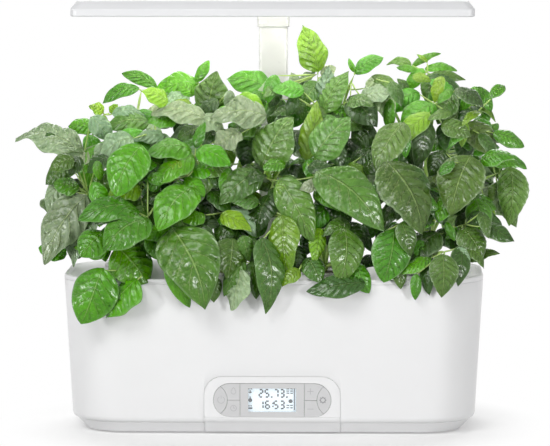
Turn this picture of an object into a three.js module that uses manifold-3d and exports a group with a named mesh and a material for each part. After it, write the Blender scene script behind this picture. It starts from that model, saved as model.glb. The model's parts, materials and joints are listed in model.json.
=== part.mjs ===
// Countertop hydroponic garden: tapered tub, lid with eight planted pods, front control panel, sliding mast
// and lamp. Millimetres, +Z up, the front towards -Y. The origin is on the floor under the middle of the tub.
import * as THREE from 'three';
import { mergeVertices, mergeGeometries } from 'three/addons/utils/BufferGeometryUtils.js';
import Module from 'manifold-3d';

const wasm = await Module();
wasm.setup();

// Clearances shared by all pieces
const seatGap = 0.3;
const runGap = 0.4;
const overrun = 4;
const seamRoundShare = 0.3;

// Tub
const tubWidth = 390;
const tubDepth = 188;
const tubCornerRadius = 60;
const tubTaper = 7.5;
const seamHeight = 140.5;
const creaseHeight = 11.8;
const creaseInset = 4;
const edgeRoundHeight = 5.4;
const casingWall = 2.5;
const cornerSteps = 7;
const prismCornerSteps = 3;
const edgeRoundShares = [0.2, 0.5, 1];

// Bottom cover and feet
const coverClearance = 1.6;
const coverInset = 8.5;
const coverFloor = 3;
const coverWall = 3;
const footRadius = 9;
const footHeight = 2;
const footRecess = 0.7;
const footInset = 46;
const footSides = 20;

// Water tank inside the casing
const tankFloorHeight = 56;
const tankWall = 2;
const tankGap = 1.4;
const tankLip = 1.2;
const tankPostRadius = 6;

// Lid
const deckThickness = 4.5;
const deckEdgeRound = 1.2;
const deckLocator = 5;
const deckLocatorWall = 2;

// Pods in two rows
const podColumns = 4;
const podPitchShare = 0.241;
const podRowShare = 0.202;
const podPitch = tubWidth * podPitchShare;
const podRowOffset = tubDepth * podRowShare;
const podRadius = 18;
const basketFlange = 4;
const basketFlangeThickness = 1.6;
const basketDepth = 46;
const basketFootRadius = 12;
const basketWall = 1.2;
const spongeHeight = 30;
const spongeHoleRadius = 5;
const podSides = 10;

// Mast, its sleeve and its channel through the tank
const mastX = -3;
const mastInset = 21;
const mastY = tubDepth / 2 - mastInset;
const mastWidth = 27.5;
const mastDepth = 16;
const mastCorner = 3;
const mastWall = 1.6;
const sleeveFoot = 18;
const sleeveWall = 2;
const sleeveWireHole = 3;
const sleeveRise = 12;
const sleeveFlange = 6;
const sleeveFlangeThickness = 2.4;
const channelWall = 2;

// Lamp
const lampEndInset = 10;
const lampSideInset = 8;
const lampRise = 245;
const lampWidth = tubWidth - 2 * lampEndInset;
const lampDepth = tubDepth - 2 * lampSideInset;
const lampBottom = seamHeight + lampRise;
const lampFaceHeight = 7.2;
const lampSlopeHeight = 7.3;
const lampSlopeInset = 6;
const lampCorner = 7;
const lampCornerSteps = 4;
const lampEdgeRound = 1.4;
const lampWall = 2.2;
const diffuserThickness = 2;
const diffuserRecess = 0.5;
const ledBoardThickness = 1.6;
const ledSize = 3;
const ledHeight = 1;
const ledColumns = 8;
const ledRows = 2;
const collarLength = 14.5;
const collarWall = 1.3;
const collarSocket = 11;

// Control panel, in the plane of the front wall
const archWidth = 125.5;
const archTop = 55.1;
const archCornerRadius = 17.5;
const stadiumLength = 108.8;
const stadiumHeight = 31.6;
const stadiumCentre = 33.1;
const keyThickness = 2.2;
const keyTravel = 0.8;
const keyColumnEdge = 29.6;
const endKeyWidth = 13.1;
const panelCurveSteps = 6;
const endKeyCurveSteps = 12;
const displayWidth = 44;
const displayHeight = 22;
const windowThickness = 1;
const windowLedge = 1.6;
const displayModuleThickness = 3;
const displayModuleMargin = 2;
const boardThickness = 1.6;
const boardMargin = 4;
const switchSize = 5;
const panelBossRadius = 2;
const panelBossRise = 2.6;
const panelBossSpread = 40;

// Circulation pump on the tank floor
const pumpInset = 45;
const pumpX = -tubWidth / 2 + pumpInset;
const pumpY = 0;
const pumpLength = 36;
const pumpWidth = 26;
const pumpHeight = 26;
const pumpWall = 1.8;
const pumpCoverThickness = 3;
const pumpSlots = 5;
const impellerRadius = 8;
const impellerHub = 2.4;
const impellerThickness = 6;
const impellerBlades = 6;
const impellerBladeThickness = 1.4;
const impellerPinRadius = 1;
const riserRadius = 4;
const riserBore = 2.6;
const riserTopGap = 5;

// Level float on the tank floor
const floatX = podPitch;
const floatY = 0;
const floatRadius = 11;
const floatHeight = 12;
const floatHeadroom = 44.5;
const floatTravel = seamHeight - tankFloorHeight - floatHeadroom;
const guideRadius = 3;
const guideFootRadius = 9;
const guideFootThickness = 3;
const roundSides = 20;

// Fill port at the back right of the lid
const flapInset = 24;
const flapX = podPitch;
const flapY = tubDepth / 2 - flapInset;
const flapWidth = 40;
const flapDepth = 24;
const flapThickness = 2;
const flapPinRadius = 1.2;
const portMargin = 5;
const hingeEarThickness = 3;
const hingeEarHeight = 5.2;
const flapBarrelRadius = 2.2;
const flapSwingRoom = 9;

// Power inlet at the back
const inletInset = 75;
const inletX = tubWidth / 2 - inletInset;
const inletHeight = 28;
const inletRadius = 5.5;
const inletBore = 3.4;
const inletFlangeRadius = 8;
const inletFlangeThickness = 1.5;
const inletLength = 14;
const inletBackWall = 1.8;

// Plants: leaves are placed as they are seen from the front, then carried back along the line of sight. Their
// places spread with the tub and rise with the space under the lamp.
const viewDistance = 3500;
const viewHeight = 495.5;
const viewSide = 92;
const canopyHang = 17.8;
const canopySpanShare = 1.169;
const canopyRiseShare = 1.898;
const canopyDepthShare = 0.665;
const stemRadius = 2.2;
const stemTipRadius = 1;
const petioleRadius = 0.9;
const leafHalfThickness = 0.55;
const plantGap = 0.35;
const leafClearance = 0.6;
const crownSides = 8;
const settlePasses = 4;
const plantDetail = 0.08;
const touchDistance = 0.01;
const touchRelief = 0.04;
const stemSides = 4;
const stemSteps = 4;
const stalkPlaces = 16;

// Shapes of the leaf, as shares of its length and width
const axisShare = 0.545;
const leafStationShares = [0.18, 0.46, 0.78];
const leafWidthShares = [0.78, 1, 0.66];
const stemLeanShare = 0.12;
const stemRiseShare = 0.7;
const crownShare = 0.75;
const leafArchShare = 0.12;
const leafFoldShare = 0.16;
const leafForwardShare = 0.75;
const leafUpwardShare = 0.65;
const stemStepShare = 0.02;
const stalkTiltShare = 0.3;
const leafBaseWidthShare = 0.12;
const stalkGripShare = 0.35;

const colours = {
  white: { color: 0xf4f4f3, roughness: 0.35, metalness: 0 },
  shade: { color: 0xd6d6d6, roughness: 0.5, metalness: 0 },
  panel: { color: 0xd9d9da, roughness: 0.45, metalness: 0 },
  key: { color: 0xd7d7d8, roughness: 0.5, metalness: 0 },
  tank: { color: 0xe6e8ea, roughness: 0.5, metalness: 0 },
  dark: { color: 0x2b2d30, roughness: 0.6, metalness: 0 },
  rubber: { color: 0x3a3a3a, roughness: 0.9, metalness: 0 },
  clear: { color: 0xe8f4f8, roughness: 0.05, metalness: 0 },
  display: { color: 0xdff2f6, roughness: 0.3, metalness: 0 },
  board: { color: 0x2e6b3f, roughness: 0.6, metalness: 0 },
  steel: { color: 0xb8babd, roughness: 0.3, metalness: 1 },
  sponge: { color: 0x3d3227, roughness: 1, metalness: 0 },
  foam: { color: 0xf0c23a, roughness: 0.8, metalness: 0 },
  brightLeaf: { color: 0x4f9a17, roughness: 0.4, metalness: 0 },
  darkLeaf: { color: 0x3f7a35, roughness: 0.5, metalness: 0 },
};

const garden = new THREE.Group();

function geometryOf(solid) {
  const result = solid.getMesh();
  const geometry = new THREE.BufferGeometry();
  geometry.setAttribute('position', new THREE.BufferAttribute(new Float32Array(result.vertProperties), 3));
  geometry.setIndex(new THREE.BufferAttribute(new Uint32Array(result.triVerts), 1));
  return geometry;
}

function addPiece(name, solid, finish, parent = garden) {
  const mesh = new THREE.Mesh(geometryOf(solid), new THREE.MeshStandardMaterial(colours[finish]));
  mesh.name = name;
  parent.add(mesh);
  return mesh;
}

function toSolid(geometry) {
  const bare = geometry.index ? geometry.toNonIndexed() : geometry.clone();
  bare.deleteAttribute('normal');
  bare.deleteAttribute('uv');
  const merged = mergeVertices(bare);
  return new wasm.Manifold(new wasm.Mesh({
    numProp: 3,
    vertProperties: new Float32Array(merged.attributes.position.array),
    triVerts: new Uint32Array(merged.index.array),
  }));
}

function union(solids) {
  return solids.reduce((whole, solid) => whole.add(solid));
}

// A box between two corners
function block(low, high) {
  const geometry = new THREE.BoxGeometry(high[0] - low[0], high[1] - low[1], high[2] - low[2]);
  geometry.translate((low[0] + high[0]) / 2, (low[1] + high[1]) / 2, (low[2] + high[2]) / 2);
  return toSolid(geometry);
}

// An upright round bar
function bar(x, y, radius, bottom, top, sides = roundSides) {
  const geometry = new THREE.CylinderGeometry(radius, radius, top - bottom, sides);
  geometry.rotateX(Math.PI / 2);
  geometry.translate(x, y, (bottom + top) / 2);
  return toSolid(geometry);
}

// A solid of revolution about an upright axis, from a closed profile of [radius, height] pairs
function turned(x, y, profile, sides) {
  const outline = profile.map(([radius, height]) => new THREE.Vector2(radius, height));
  const geometry = new THREE.LatheGeometry(outline, sides);
  geometry.rotateX(Math.PI / 2);
  geometry.translate(x, y, 0);
  return toSolid(geometry);
}

// A closed mesh from rings of points that all have the same count, with a fan over each end
function ringSolid(rings) {
  const count = rings[0].length;
  const points = rings.flat();
  const faces = [];
  for (let ring = 0; ring + 1 < rings.length; ring += 1) {
    for (let step = 0; step < count; step += 1) {
      const a = ring * count + step;
      const b = ring * count + (step + 1) % count;
      faces.push(a, b, b + count, a, b + count, a + count);
    }
  }
  const last = (rings.length - 1) * count;
  for (let step = 1; step + 1 < count; step += 1) {
    faces.push(0, step + 1, step, last, last + step, last + step + 1);
  }
  const geometry = new THREE.BufferGeometry();
  geometry.setAttribute('position', new THREE.Float32BufferAttribute(points.flat(), 3));
  geometry.setIndex(faces);
  return toSolid(geometry);
}

// A rounded rectangle of points at one height
function roundedRing(halfX, halfY, radius, height, centreX = 0, centreY = 0, steps = cornerSteps) {
  const ring = [];
  const corners = [[1, 1], [-1, 1], [-1, -1], [1, -1]];
  corners.forEach(([signX, signY], corner) => {
    for (let step = 0; step <= steps; step += 1) {
      const angle = (corner + step / steps) * Math.PI / 2;
      ring.push([
        centreX + signX * (halfX - radius) + radius * Math.cos(angle),
        centreY + signY * (halfY - radius) + radius * Math.sin(angle),
        height,
      ]);
    }
  });
  return ring;
}

// An upright prism over a rounded rectangle
function roundedPrism(x, y, width, depth, radius, bottom, top) {
  const ringAt = (height) => roundedRing(width / 2, depth / 2, radius, height, x, y, prismCornerSteps);
  return ringSolid([ringAt(bottom), ringAt(top)]);
}

// Outside of the tub at a height: the wall leans out evenly above the rounded lower edge
function tubInset(height) {
  const lean = tubTaper * (seamHeight - height) / (seamHeight - creaseHeight);
  const roundShare = Math.min(1, Math.max(0, (height - creaseHeight) / edgeRoundHeight));
  return lean + creaseInset * (1 - Math.sqrt(1 - (1 - roundShare) ** 2));
}

function tubRing(height, inset) {
  return roundedRing(tubWidth / 2 - inset, tubDepth / 2 - inset, tubCornerRadius - inset, height);
}

const reach = tubWidth;

// The whole outside from the bottom cover to the seam, drawn in by an offset
function tubBody(offset, bottom, top) {
  const coverBottomInset = tubInset(creaseHeight) + coverInset;
  const heights = [...edgeRoundShares.map((share) => creaseHeight + share * edgeRoundHeight), seamHeight];
  const rings = [
    tubRing(coverClearance, coverBottomInset + offset),
    tubRing(creaseHeight, tubInset(creaseHeight) + offset),
  ];
  heights.forEach((height) => rings.push(tubRing(height, tubInset(height) + offset)));
  return ringSolid(rings).intersect(block([-reach, -reach, bottom], [reach, reach, top]));
}

// Front panel frame: x to the right, y up along the front wall, z outwards from it
const wallLean = Math.atan2(tubTaper, seamHeight - creaseHeight);
const frontY = -tubDepth / 2 + tubTaper;
const panelFrame = new THREE.Group();
panelFrame.position.set(0, frontY, creaseHeight);
panelFrame.rotation.x = Math.PI / 2 + wallLean;
garden.add(panelFrame);
panelFrame.updateMatrixWorld(true);
const panelMatrix = panelFrame.matrixWorld;

// A plate or cutter from an outline in the panel frame, between two depths
function panelPlate(shape, back, front, curveSteps = panelCurveSteps) {
  const settings = { depth: front - back, bevelEnabled: false, curveSegments: curveSteps };
  const geometry = new THREE.ExtrudeGeometry(shape, settings);
  geometry.translate(0, 0, back);
  return toSolid(geometry);
}

function toWorld(solid) {
  return solid.transform(panelMatrix.elements);
}

function rectangle(left, bottom, right, top, radius = 0) {
  const shape = new THREE.Shape();
  shape.moveTo(left + radius, bottom);
  shape.lineTo(right - radius, bottom);
  if (radius > 0) shape.absarc(right - radius, bottom + radius, radius, -Math.PI / 2, 0);
  shape.lineTo(right, top - radius);
  if (radius > 0) shape.absarc(right - radius, top - radius, radius, 0, Math.PI / 2);
  shape.lineTo(left + radius, top);
  if (radius > 0) shape.absarc(left + radius, top - radius, radius, Math.PI / 2, Math.PI);
  shape.lineTo(left, bottom + radius);
  if (radius > 0) shape.absarc(left + radius, bottom + radius, radius, Math.PI, 1.5 * Math.PI);
  return shape;
}

const stadiumY = stadiumCentre - creaseHeight;

function stadium(grow) {
  const halfLength = stadiumLength / 2 + grow;
  const radius = stadiumHeight / 2 + grow;
  return rectangle(-halfLength, stadiumY - radius, halfLength, stadiumY + radius, radius);
}

// The arch runs down through the wall and the bottom cover, and a grown copy cuts its way through them
function archCutter(grow) {
  const half = archWidth / 2 + grow;
  const top = archTop - creaseHeight + grow;
  const shape = rectangle(-half, -creaseHeight - overrun, half, top, archCornerRadius + grow);
  const lower = rectangle(-half, -creaseHeight - overrun, half, top - archCornerRadius - grow);
  const depth = casingWall + creaseInset + coverInset + overrun;
  return toWorld(panelPlate(shape, -depth, overrun).add(panelPlate(lower, -depth, overrun)));
}

const shellOuter = tubBody(0, coverClearance, seamHeight);
const shellInner = tubBody(casingWall, coverClearance + coverFloor, seamHeight + overrun);
const shell = shellOuter.subtract(shellInner);

function buildCasing() {
  const above = block([-reach, -reach, creaseHeight], [reach, reach, seamHeight]);
  const inletBack = tubDepth / 2 - inletLength;
  const inletHole = turnedAlongY(inletX, inletRadius + seatGap, inletBack, tubDepth / 2 + overrun);
  addPiece('outer_casing', shell.intersect(above).subtract(archCutter(seatGap)).subtract(inletHole), 'white');
}

// A round bar along Y at the height of the inlet
function turnedAlongY(x, radius, from, to, sides = roundSides) {
  const geometry = new THREE.CylinderGeometry(radius, radius, to - from, sides);
  geometry.translate(x, (from + to) / 2, inletHeight);
  return toSolid(geometry);
}

function footPlaces() {
  const x = tubWidth / 2 - footInset;
  const y = tubDepth / 2 - footInset;
  return [[-x, -y], [x, -y], [-x, y], [x, y]];
}

// The bottom cover stands on four feet and carries the water tank on four posts above them
function buildBase() {
  const below = block([-reach, -reach, coverClearance], [reach, reach, creaseHeight - seatGap]);
  const hollow = tubBody(coverInset + coverWall, coverClearance + coverFloor, seamHeight);
  let cover = shellOuter.intersect(below).subtract(hollow).subtract(archCutter(seatGap));
  const recessBottom = coverClearance - overrun;
  const postBottom = coverClearance + coverFloor / 2;
  footPlaces().forEach(([x, y], index) => {
    const recess = bar(x, y, footRadius + seatGap, recessBottom, footHeight + seatGap, footSides);
    const post = bar(x, y, tankPostRadius, postBottom, tankFloorHeight - seatGap, podSides);
    cover = cover.subtract(recess).add(post);
    addPiece(`foot_${index + 1}`, bar(x, y, footRadius, 0, footHeight, footSides), 'rubber');
  });
  addPiece('base_cover', cover, 'shade');
}

function tankOuterRing(height, extra) {
  const inset = tubInset(height) + casingWall + tankGap + extra;
  return roundedRing(tubWidth / 2 - inset, tubDepth / 2 - inset, tubCornerRadius - inset, height);
}

const channelHalfWidth = mastWidth / 2 + runGap + sleeveWall + seatGap;
const channelFront = mastY - mastDepth / 2 - runGap - sleeveWall - seatGap;

function buildTank() {
  const top = seamHeight - tankLip;
  const outer = ringSolid([tankFloorHeight, top].map((height) => tankOuterRing(height, 0)));
  const floorTop = tankFloorHeight + tankWall;
  const inner = ringSolid([floorTop, top + overrun].map((height) => tankOuterRing(height, tankWall)));
  const channelBlock = block(
    [mastX - channelHalfWidth - channelWall, channelFront - channelWall, tankFloorHeight],
    [mastX + channelHalfWidth + channelWall, tubDepth, top + overrun + overrun],
  );
  const channel = block(
    [mastX - channelHalfWidth, channelFront, tankFloorHeight - overrun],
    [mastX + channelHalfWidth, tubDepth, top + overrun],
  );
  addPiece('water_tank', outer.subtract(inner.subtract(channelBlock)).subtract(channel), 'tank');
}

const deckBottom = seamHeight + seatGap;
const deckTop = deckBottom + deckThickness;

function podPlaces() {
  const places = [];
  [-1, 1].forEach((row) => {
    for (let column = 0; column < podColumns; column += 1) {
      places.push([(column - (podColumns - 1) / 2) * podPitch, row * podRowOffset]);
    }
  });
  return places;
}

const rimTop = deckTop + seatGap + basketFlangeThickness;
const hingeY = flapY + flapDepth / 2 + flapBarrelRadius;
const hingeZ = deckTop + seatGap + flapBarrelRadius;
const earInner = flapWidth / 2 + seatGap;

function buildDeck() {
  const edge = [0, deckEdgeRound * seamRoundShare, deckEdgeRound];
  const rings = [tubRing(deckBottom, 0), tubRing(deckTop - deckEdgeRound, edge[0])];
  rings.push(tubRing(deckTop - edge[1], edge[1]), tubRing(deckTop, edge[2]));
  let deck = ringSolid(rings);
  const liftedRing = (ring, height) => ring.map(([x, y]) => [x, y, height]);
  const locatorOuter = ringSolid([
    tankOuterRing(seamHeight - deckLocator, tankWall + seatGap),
    liftedRing(tankOuterRing(seamHeight, tankWall + seatGap), deckBottom + seatGap),
  ]);
  const locatorInset = tankWall + seatGap + deckLocatorWall;
  const locatorInnerRing = tankOuterRing(seamHeight - deckLocator, locatorInset);
  const locatorInner = ringSolid([
    liftedRing(locatorInnerRing, seamHeight - deckLocator - overrun),
    liftedRing(locatorInnerRing, deckBottom),
  ]);
  const channelClear = block(
    [mastX - channelHalfWidth - channelWall - seatGap, channelFront - channelWall - seatGap, 0],
    [mastX + channelHalfWidth + channelWall + seatGap, tubDepth, deckBottom],
  );
  deck = deck.add(locatorOuter.subtract(locatorInner).subtract(channelClear));
  podPlaces().forEach(([x, y]) => {
    deck = deck.subtract(bar(x, y, podRadius + seatGap, 0, deckTop + overrun, podSides));
  });
  const sleeveClear = sleeveWall + runGap + seatGap;
  deck = deck.subtract(mastTube(sleeveClear, 0, deckTop + overrun));
  const portX = flapWidth / 2 - portMargin;
  const portY = flapDepth / 2 - portMargin;
  deck = deck.subtract(block(
    [flapX - portX, flapY - portY, 0],
    [flapX + portX, flapY + portY, deckTop + overrun],
  ));
  [-1, 1].forEach((side) => {
    const inner = flapX + side * earInner;
    const outer = inner + side * hingeEarThickness;
    deck = deck.add(block(
      [Math.min(inner, outer), hingeY - flapBarrelRadius, deckBottom],
      [Math.max(inner, outer), hingeY + flapBarrelRadius, deckTop + hingeEarHeight],
    ));
  });
  addPiece('grow_deck', deck.subtract(alongX(flapPinRadius + seatGap)), 'white');
}

// A round bar along the flap's hinge line, longer than the hinge
function alongX(radius, half = flapWidth + overrun) {
  const geometry = new THREE.CylinderGeometry(radius, radius, 2 * half, podSides);
  geometry.rotateZ(Math.PI / 2);
  geometry.translate(flapX, hingeY, hingeZ);
  return toSolid(geometry);
}

function buildFlap() {
  const flapBottom = deckTop + seatGap;
  const flapTop = flapBottom + flapThickness;
  const plate = roundedPrism(flapX, flapY, flapWidth, flapDepth, mastCorner, flapBottom, flapTop);
  const barrel = alongX(flapBarrelRadius, flapWidth / 2);
  const bridge = block(
    [flapX - flapWidth / 2, flapY + flapDepth / 4, flapBottom],
    [flapX + flapWidth / 2, hingeY, flapTop],
  );
  addPiece('fill_flap', union([plate, barrel, bridge]).subtract(alongX(flapPinRadius + seatGap)), 'white');
  addPiece('flap_pin', alongX(flapPinRadius, earInner + hingeEarThickness), 'steel');
}

function buildPods() {
  podPlaces().forEach(([x, y], index) => {
    const wallRadius = podRadius - seatGap;
    const bottom = deckTop - basketDepth;
    const kneeHeight = deckTop - deckThickness;
    const basket = turned(x, y, [
      [0, bottom],
      [basketFootRadius, bottom],
      [wallRadius, kneeHeight],
      [wallRadius, deckTop + seatGap],
      [podRadius + basketFlange, deckTop + seatGap],
      [podRadius + basketFlange, rimTop],
      [wallRadius - basketWall, rimTop],
      [wallRadius - basketWall, kneeHeight],
      [basketFootRadius - basketWall, bottom + basketWall],
      [0, bottom + basketWall],
    ], podSides);
    addPiece(`basket_${index + 1}`, basket, 'white');
    const spongeBottom = deckTop - spongeHeight;
    const spongeRadius = basketFootRadius - basketWall - seatGap;
    const upperRadius = wallRadius - basketWall - seatGap;
    const slopeShare = (kneeHeight - spongeBottom) / (basketDepth - deckThickness);
    const lowerRadius = upperRadius - (upperRadius - spongeRadius) * slopeShare;
    const sponge = turned(x, y, [
      [spongeHoleRadius, spongeBottom],
      [lowerRadius, spongeBottom],
      [upperRadius, kneeHeight],
      [upperRadius, deckTop],
      [spongeHoleRadius, deckTop],
      [spongeHoleRadius, spongeBottom],
    ], podSides);
    addPiece(`sponge_${index + 1}`, sponge, 'sponge');
  });
}

function mastTube(widthGrow, bottom, top) {
  const width = mastWidth + 2 * widthGrow;
  const depth = mastDepth + 2 * widthGrow;
  return roundedPrism(mastX, mastY, width, depth, mastCorner + widthGrow, bottom, top);
}

const sleeveTop = deckTop + sleeveRise;

function buildSleeve() {
  const flangeBottom = deckTop + seatGap;
  const flange = roundedPrism(
    mastX, mastY, mastWidth + 2 * (sleeveWall + sleeveFlange), mastDepth + 2 * (sleeveWall + sleeveFlange),
    mastCorner + sleeveFlange, flangeBottom, flangeBottom + sleeveFlangeThickness,
  );
  const outer = mastTube(runGap + sleeveWall, sleeveFoot, sleeveTop).add(flange);
  const bore = mastTube(runGap, sleeveFoot + sleeveWall, sleeveTop + overrun);
  const wireHole = bar(mastX, mastY, sleeveWireHole, sleeveFoot - overrun, sleeveFoot + overrun, podSides);
  addPiece('mast_sleeve', outer.subtract(bore).subtract(wireHole), 'white');
}

const mastFoot = sleeveFoot + sleeveWall + seatGap;
const mastTop = lampBottom - collarLength + collarSocket;

function buildMast() {
  const outer = mastTube(0, mastFoot, mastTop);
  const bore = mastTube(-mastWall, mastFoot - overrun, mastTop + overrun);
  addPiece('mast', outer.subtract(bore), 'white');
  const collarBottom = lampBottom - collarLength;
  const collar = mastTube(seatGap + collarWall, collarBottom, lampBottom - seatGap);
  const socket = mastTube(seatGap, collarBottom - overrun, mastTop + seatGap);
  const wireHole = mastTube(-mastWall - collarWall, collarBottom, lampBottom + overrun);
  addPiece('lamp_collar', collar.subtract(socket).subtract(wireHole), 'white');
}

function lampRing(inset, height) {
  return roundedRing(lampWidth / 2 - inset, lampDepth / 2 - inset, lampCorner, height, 0, 0, lampCornerSteps);
}

function buildLamp() {
  const faceTop = lampBottom + lampFaceHeight;
  const lampTop = faceTop + lampSlopeHeight;
  const shellSolid = ringSolid([
    lampRing(lampEdgeRound, lampBottom),
    lampRing(lampEdgeRound * seamRoundShare, lampBottom + lampEdgeRound * seamRoundShare),
    lampRing(0, lampBottom + lampEdgeRound),
    lampRing(0, faceTop),
    lampRing(lampSlopeInset, lampTop),
  ]);
  const ceiling = lampTop - lampWall;
  const rim = lampEdgeRound + lampWall;
  const backRim = lampDepth / 2 - mastY + mastDepth / 2 + collarWall + lampWall;
  const pocketDepthCentre = -(backRim - rim) / 2;
  const pocketDepth = lampDepth - rim - backRim;
  const pocketWidth = lampWidth - 2 * rim;
  const pocketAt = (grow, bottom, top) => roundedPrism(
    0, pocketDepthCentre, pocketWidth - 2 * grow, pocketDepth - 2 * grow, lampCorner - lampWall, bottom, top);
  const slopeMargin = lampSlopeInset;
  const housing = shellSolid
    .subtract(pocketAt(0, lampBottom - overrun, faceTop))
    .subtract(pocketAt(slopeMargin, lampBottom - overrun, ceiling));
  addPiece('lamp_housing', housing, 'white');
  const diffuserBottom = lampBottom + diffuserRecess;
  addPiece('lamp_diffuser', pocketAt(seatGap, diffuserBottom, diffuserBottom + diffuserThickness), 'clear');
  const boardTop = ceiling - seatGap;
  let board = pocketAt(slopeMargin + seatGap, boardTop - ledBoardThickness, boardTop);
  for (let column = 0; column < ledColumns; column += 1) {
    for (let row = 0; row < ledRows; row += 1) {
      const x = ((column + 0.5) / ledColumns - 0.5) * (pocketWidth - 2 * slopeMargin);
      const y = pocketDepthCentre + ((row + 0.5) / ledRows - 0.5) * (pocketDepth - 2 * slopeMargin);
      board = board.add(block(
        [x - ledSize / 2, y - ledSize / 2, boardTop - ledBoardThickness - ledHeight],
        [x + ledSize / 2, y + ledSize / 2, boardTop - ledBoardThickness / 2],
      ));
    }
  }
  addPiece('led_board', board, 'steel');
}

// The six keys and the display frame share the stadium, parted by narrow seams
function endCircle(side, grow) {
  const radius = stadiumHeight / 2 + grow;
  const centre = side * (stadiumLength / 2 - stadiumHeight / 2 + stadiumHeight - endKeyWidth);
  const shape = new THREE.Shape();
  shape.absarc(centre, stadiumY, radius, 0, 2 * Math.PI);
  return panelPlate(shape, -keyThickness - overrun, overrun, endKeyCurveSteps);
}

const switchFront = -keyThickness - keyTravel - seatGap;
const boardFront = switchFront - displayModuleThickness;

function buildPanel() {
  const hole = toWorld(panelPlate(stadium(0), -casingWall * 2, overrun));
  let bezel = shell.intersect(archCutter(0));
  const bossBack = boardFront + seatGap;
  [-1, 1].forEach((side) => {
    const bossLength = -bossBack - casingWall / 2;
    const geometry = new THREE.CylinderGeometry(panelBossRadius, panelBossRadius, bossLength, podSides);
    geometry.rotateX(Math.PI / 2);
    const bossY = stadiumY + stadiumHeight / 2 + panelBossRise;
    geometry.translate(side * panelBossSpread, bossY, (bossBack - casingWall / 2) / 2);
    bezel = bezel.add(toWorld(toSolid(geometry)));
  });
  addPiece('panel_bezel', bezel.subtract(hole), 'white');

  const keyField = panelPlate(stadium(-seatGap), -keyThickness, 0);
  const halves = (side, upper) => {
    const inner = side * (keyColumnEdge + seatGap / 2);
    const outer = side * stadiumLength;
    const low = upper ? stadiumY + seatGap / 2 : stadiumY - stadiumHeight;
    const high = upper ? stadiumY + stadiumHeight : stadiumY - seatGap / 2;
    const half = rectangle(Math.min(inner, outer), low, Math.max(inner, outer), high);
    return panelPlate(half, -keyThickness - overrun, overrun);
  };
  addPiece('power_key', keyField.intersect(endCircle(-1, 0)), 'key', panelFrame);
  addPiece('light_key', keyField.intersect(endCircle(1, 0)), 'key', panelFrame);
  const innerKeys = [
    ['pump_key', -1, true], ['timer_key', -1, false], ['plus_key', 1, true], ['minus_key', 1, false],
  ];
  innerKeys.forEach(([name, side, upper]) => {
    const key = keyField.intersect(halves(side, upper)).subtract(endCircle(side, seatGap));
    addPiece(name, key, 'key', panelFrame);
  });

  const half = keyColumnEdge - seatGap / 2;
  const frameBack = switchFront;
  const frameField = rectangle(-half, stadiumY - stadiumHeight, half, stadiumY + stadiumHeight);
  const frameBody = panelPlate(frameField, frameBack, 0);
  const frameOutline = panelPlate(stadium(-seatGap), frameBack - overrun, overrun);
  const windowHole = panelPlate(windowRectangle(0), frameBack - overrun, overrun);
  const windowSeat = panelPlate(windowRectangle(windowLedge), frameBack - overrun, -windowThickness);
  const displayFrame = frameBody.intersect(frameOutline).subtract(windowHole).subtract(windowSeat);
  addPiece('display_frame', displayFrame, 'panel', panelFrame);
  const lensFlange = windowRectangle(windowLedge - seatGap);
  const lens = panelPlate(lensFlange, -windowThickness * 2 - seatGap, -windowThickness - seatGap)
    .add(panelPlate(windowRectangle(-seatGap), -windowThickness * 2, 0));
  addPiece('display_window', lens, 'clear', panelFrame);

  const moduleFront = frameBack - seatGap;
  const moduleBack = moduleFront - displayModuleThickness + 2 * seatGap;
  const moduleBody = panelPlate(windowRectangle(displayModuleMargin), moduleBack, moduleFront);
  addPiece('lcd_module', moduleBody, 'display', panelFrame);

  const boardHalfWidth = stadiumLength / 2 + boardMargin;
  const boardHalfHeight = stadiumHeight / 2 + boardMargin;
  let board = panelPlate(
    rectangle(-boardHalfWidth, stadiumY - boardHalfHeight, boardHalfWidth, stadiumY + boardHalfHeight),
    boardFront - boardThickness, boardFront,
  );
  const innerKeyX = keyColumnEdge + switchSize;
  const innerKeyY = stadiumHeight / 4;
  const endKeyX = stadiumLength / 2 - endKeyWidth / 2;
  [-1, 1].forEach((side) => {
    [[innerKeyX, innerKeyY], [innerKeyX, -innerKeyY], [endKeyX, 0]].forEach(([x, y]) => {
      const centreX = side * x;
      const low = [centreX - switchSize / 2, stadiumY + y - switchSize / 2, boardFront - boardThickness / 2];
      board = board.add(block(low, [low[0] + switchSize, low[1] + switchSize, switchFront]));
    });
  });
  addPiece('control_board', board, 'board', panelFrame);
}

function windowRectangle(grow) {
  const halfWidth = displayWidth / 2 + grow;
  const halfHeight = displayHeight / 2 + grow;
  return rectangle(-halfWidth, stadiumY - halfHeight, halfWidth, stadiumY + halfHeight);
}

const tankFloorTop = tankFloorHeight + tankWall;

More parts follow.
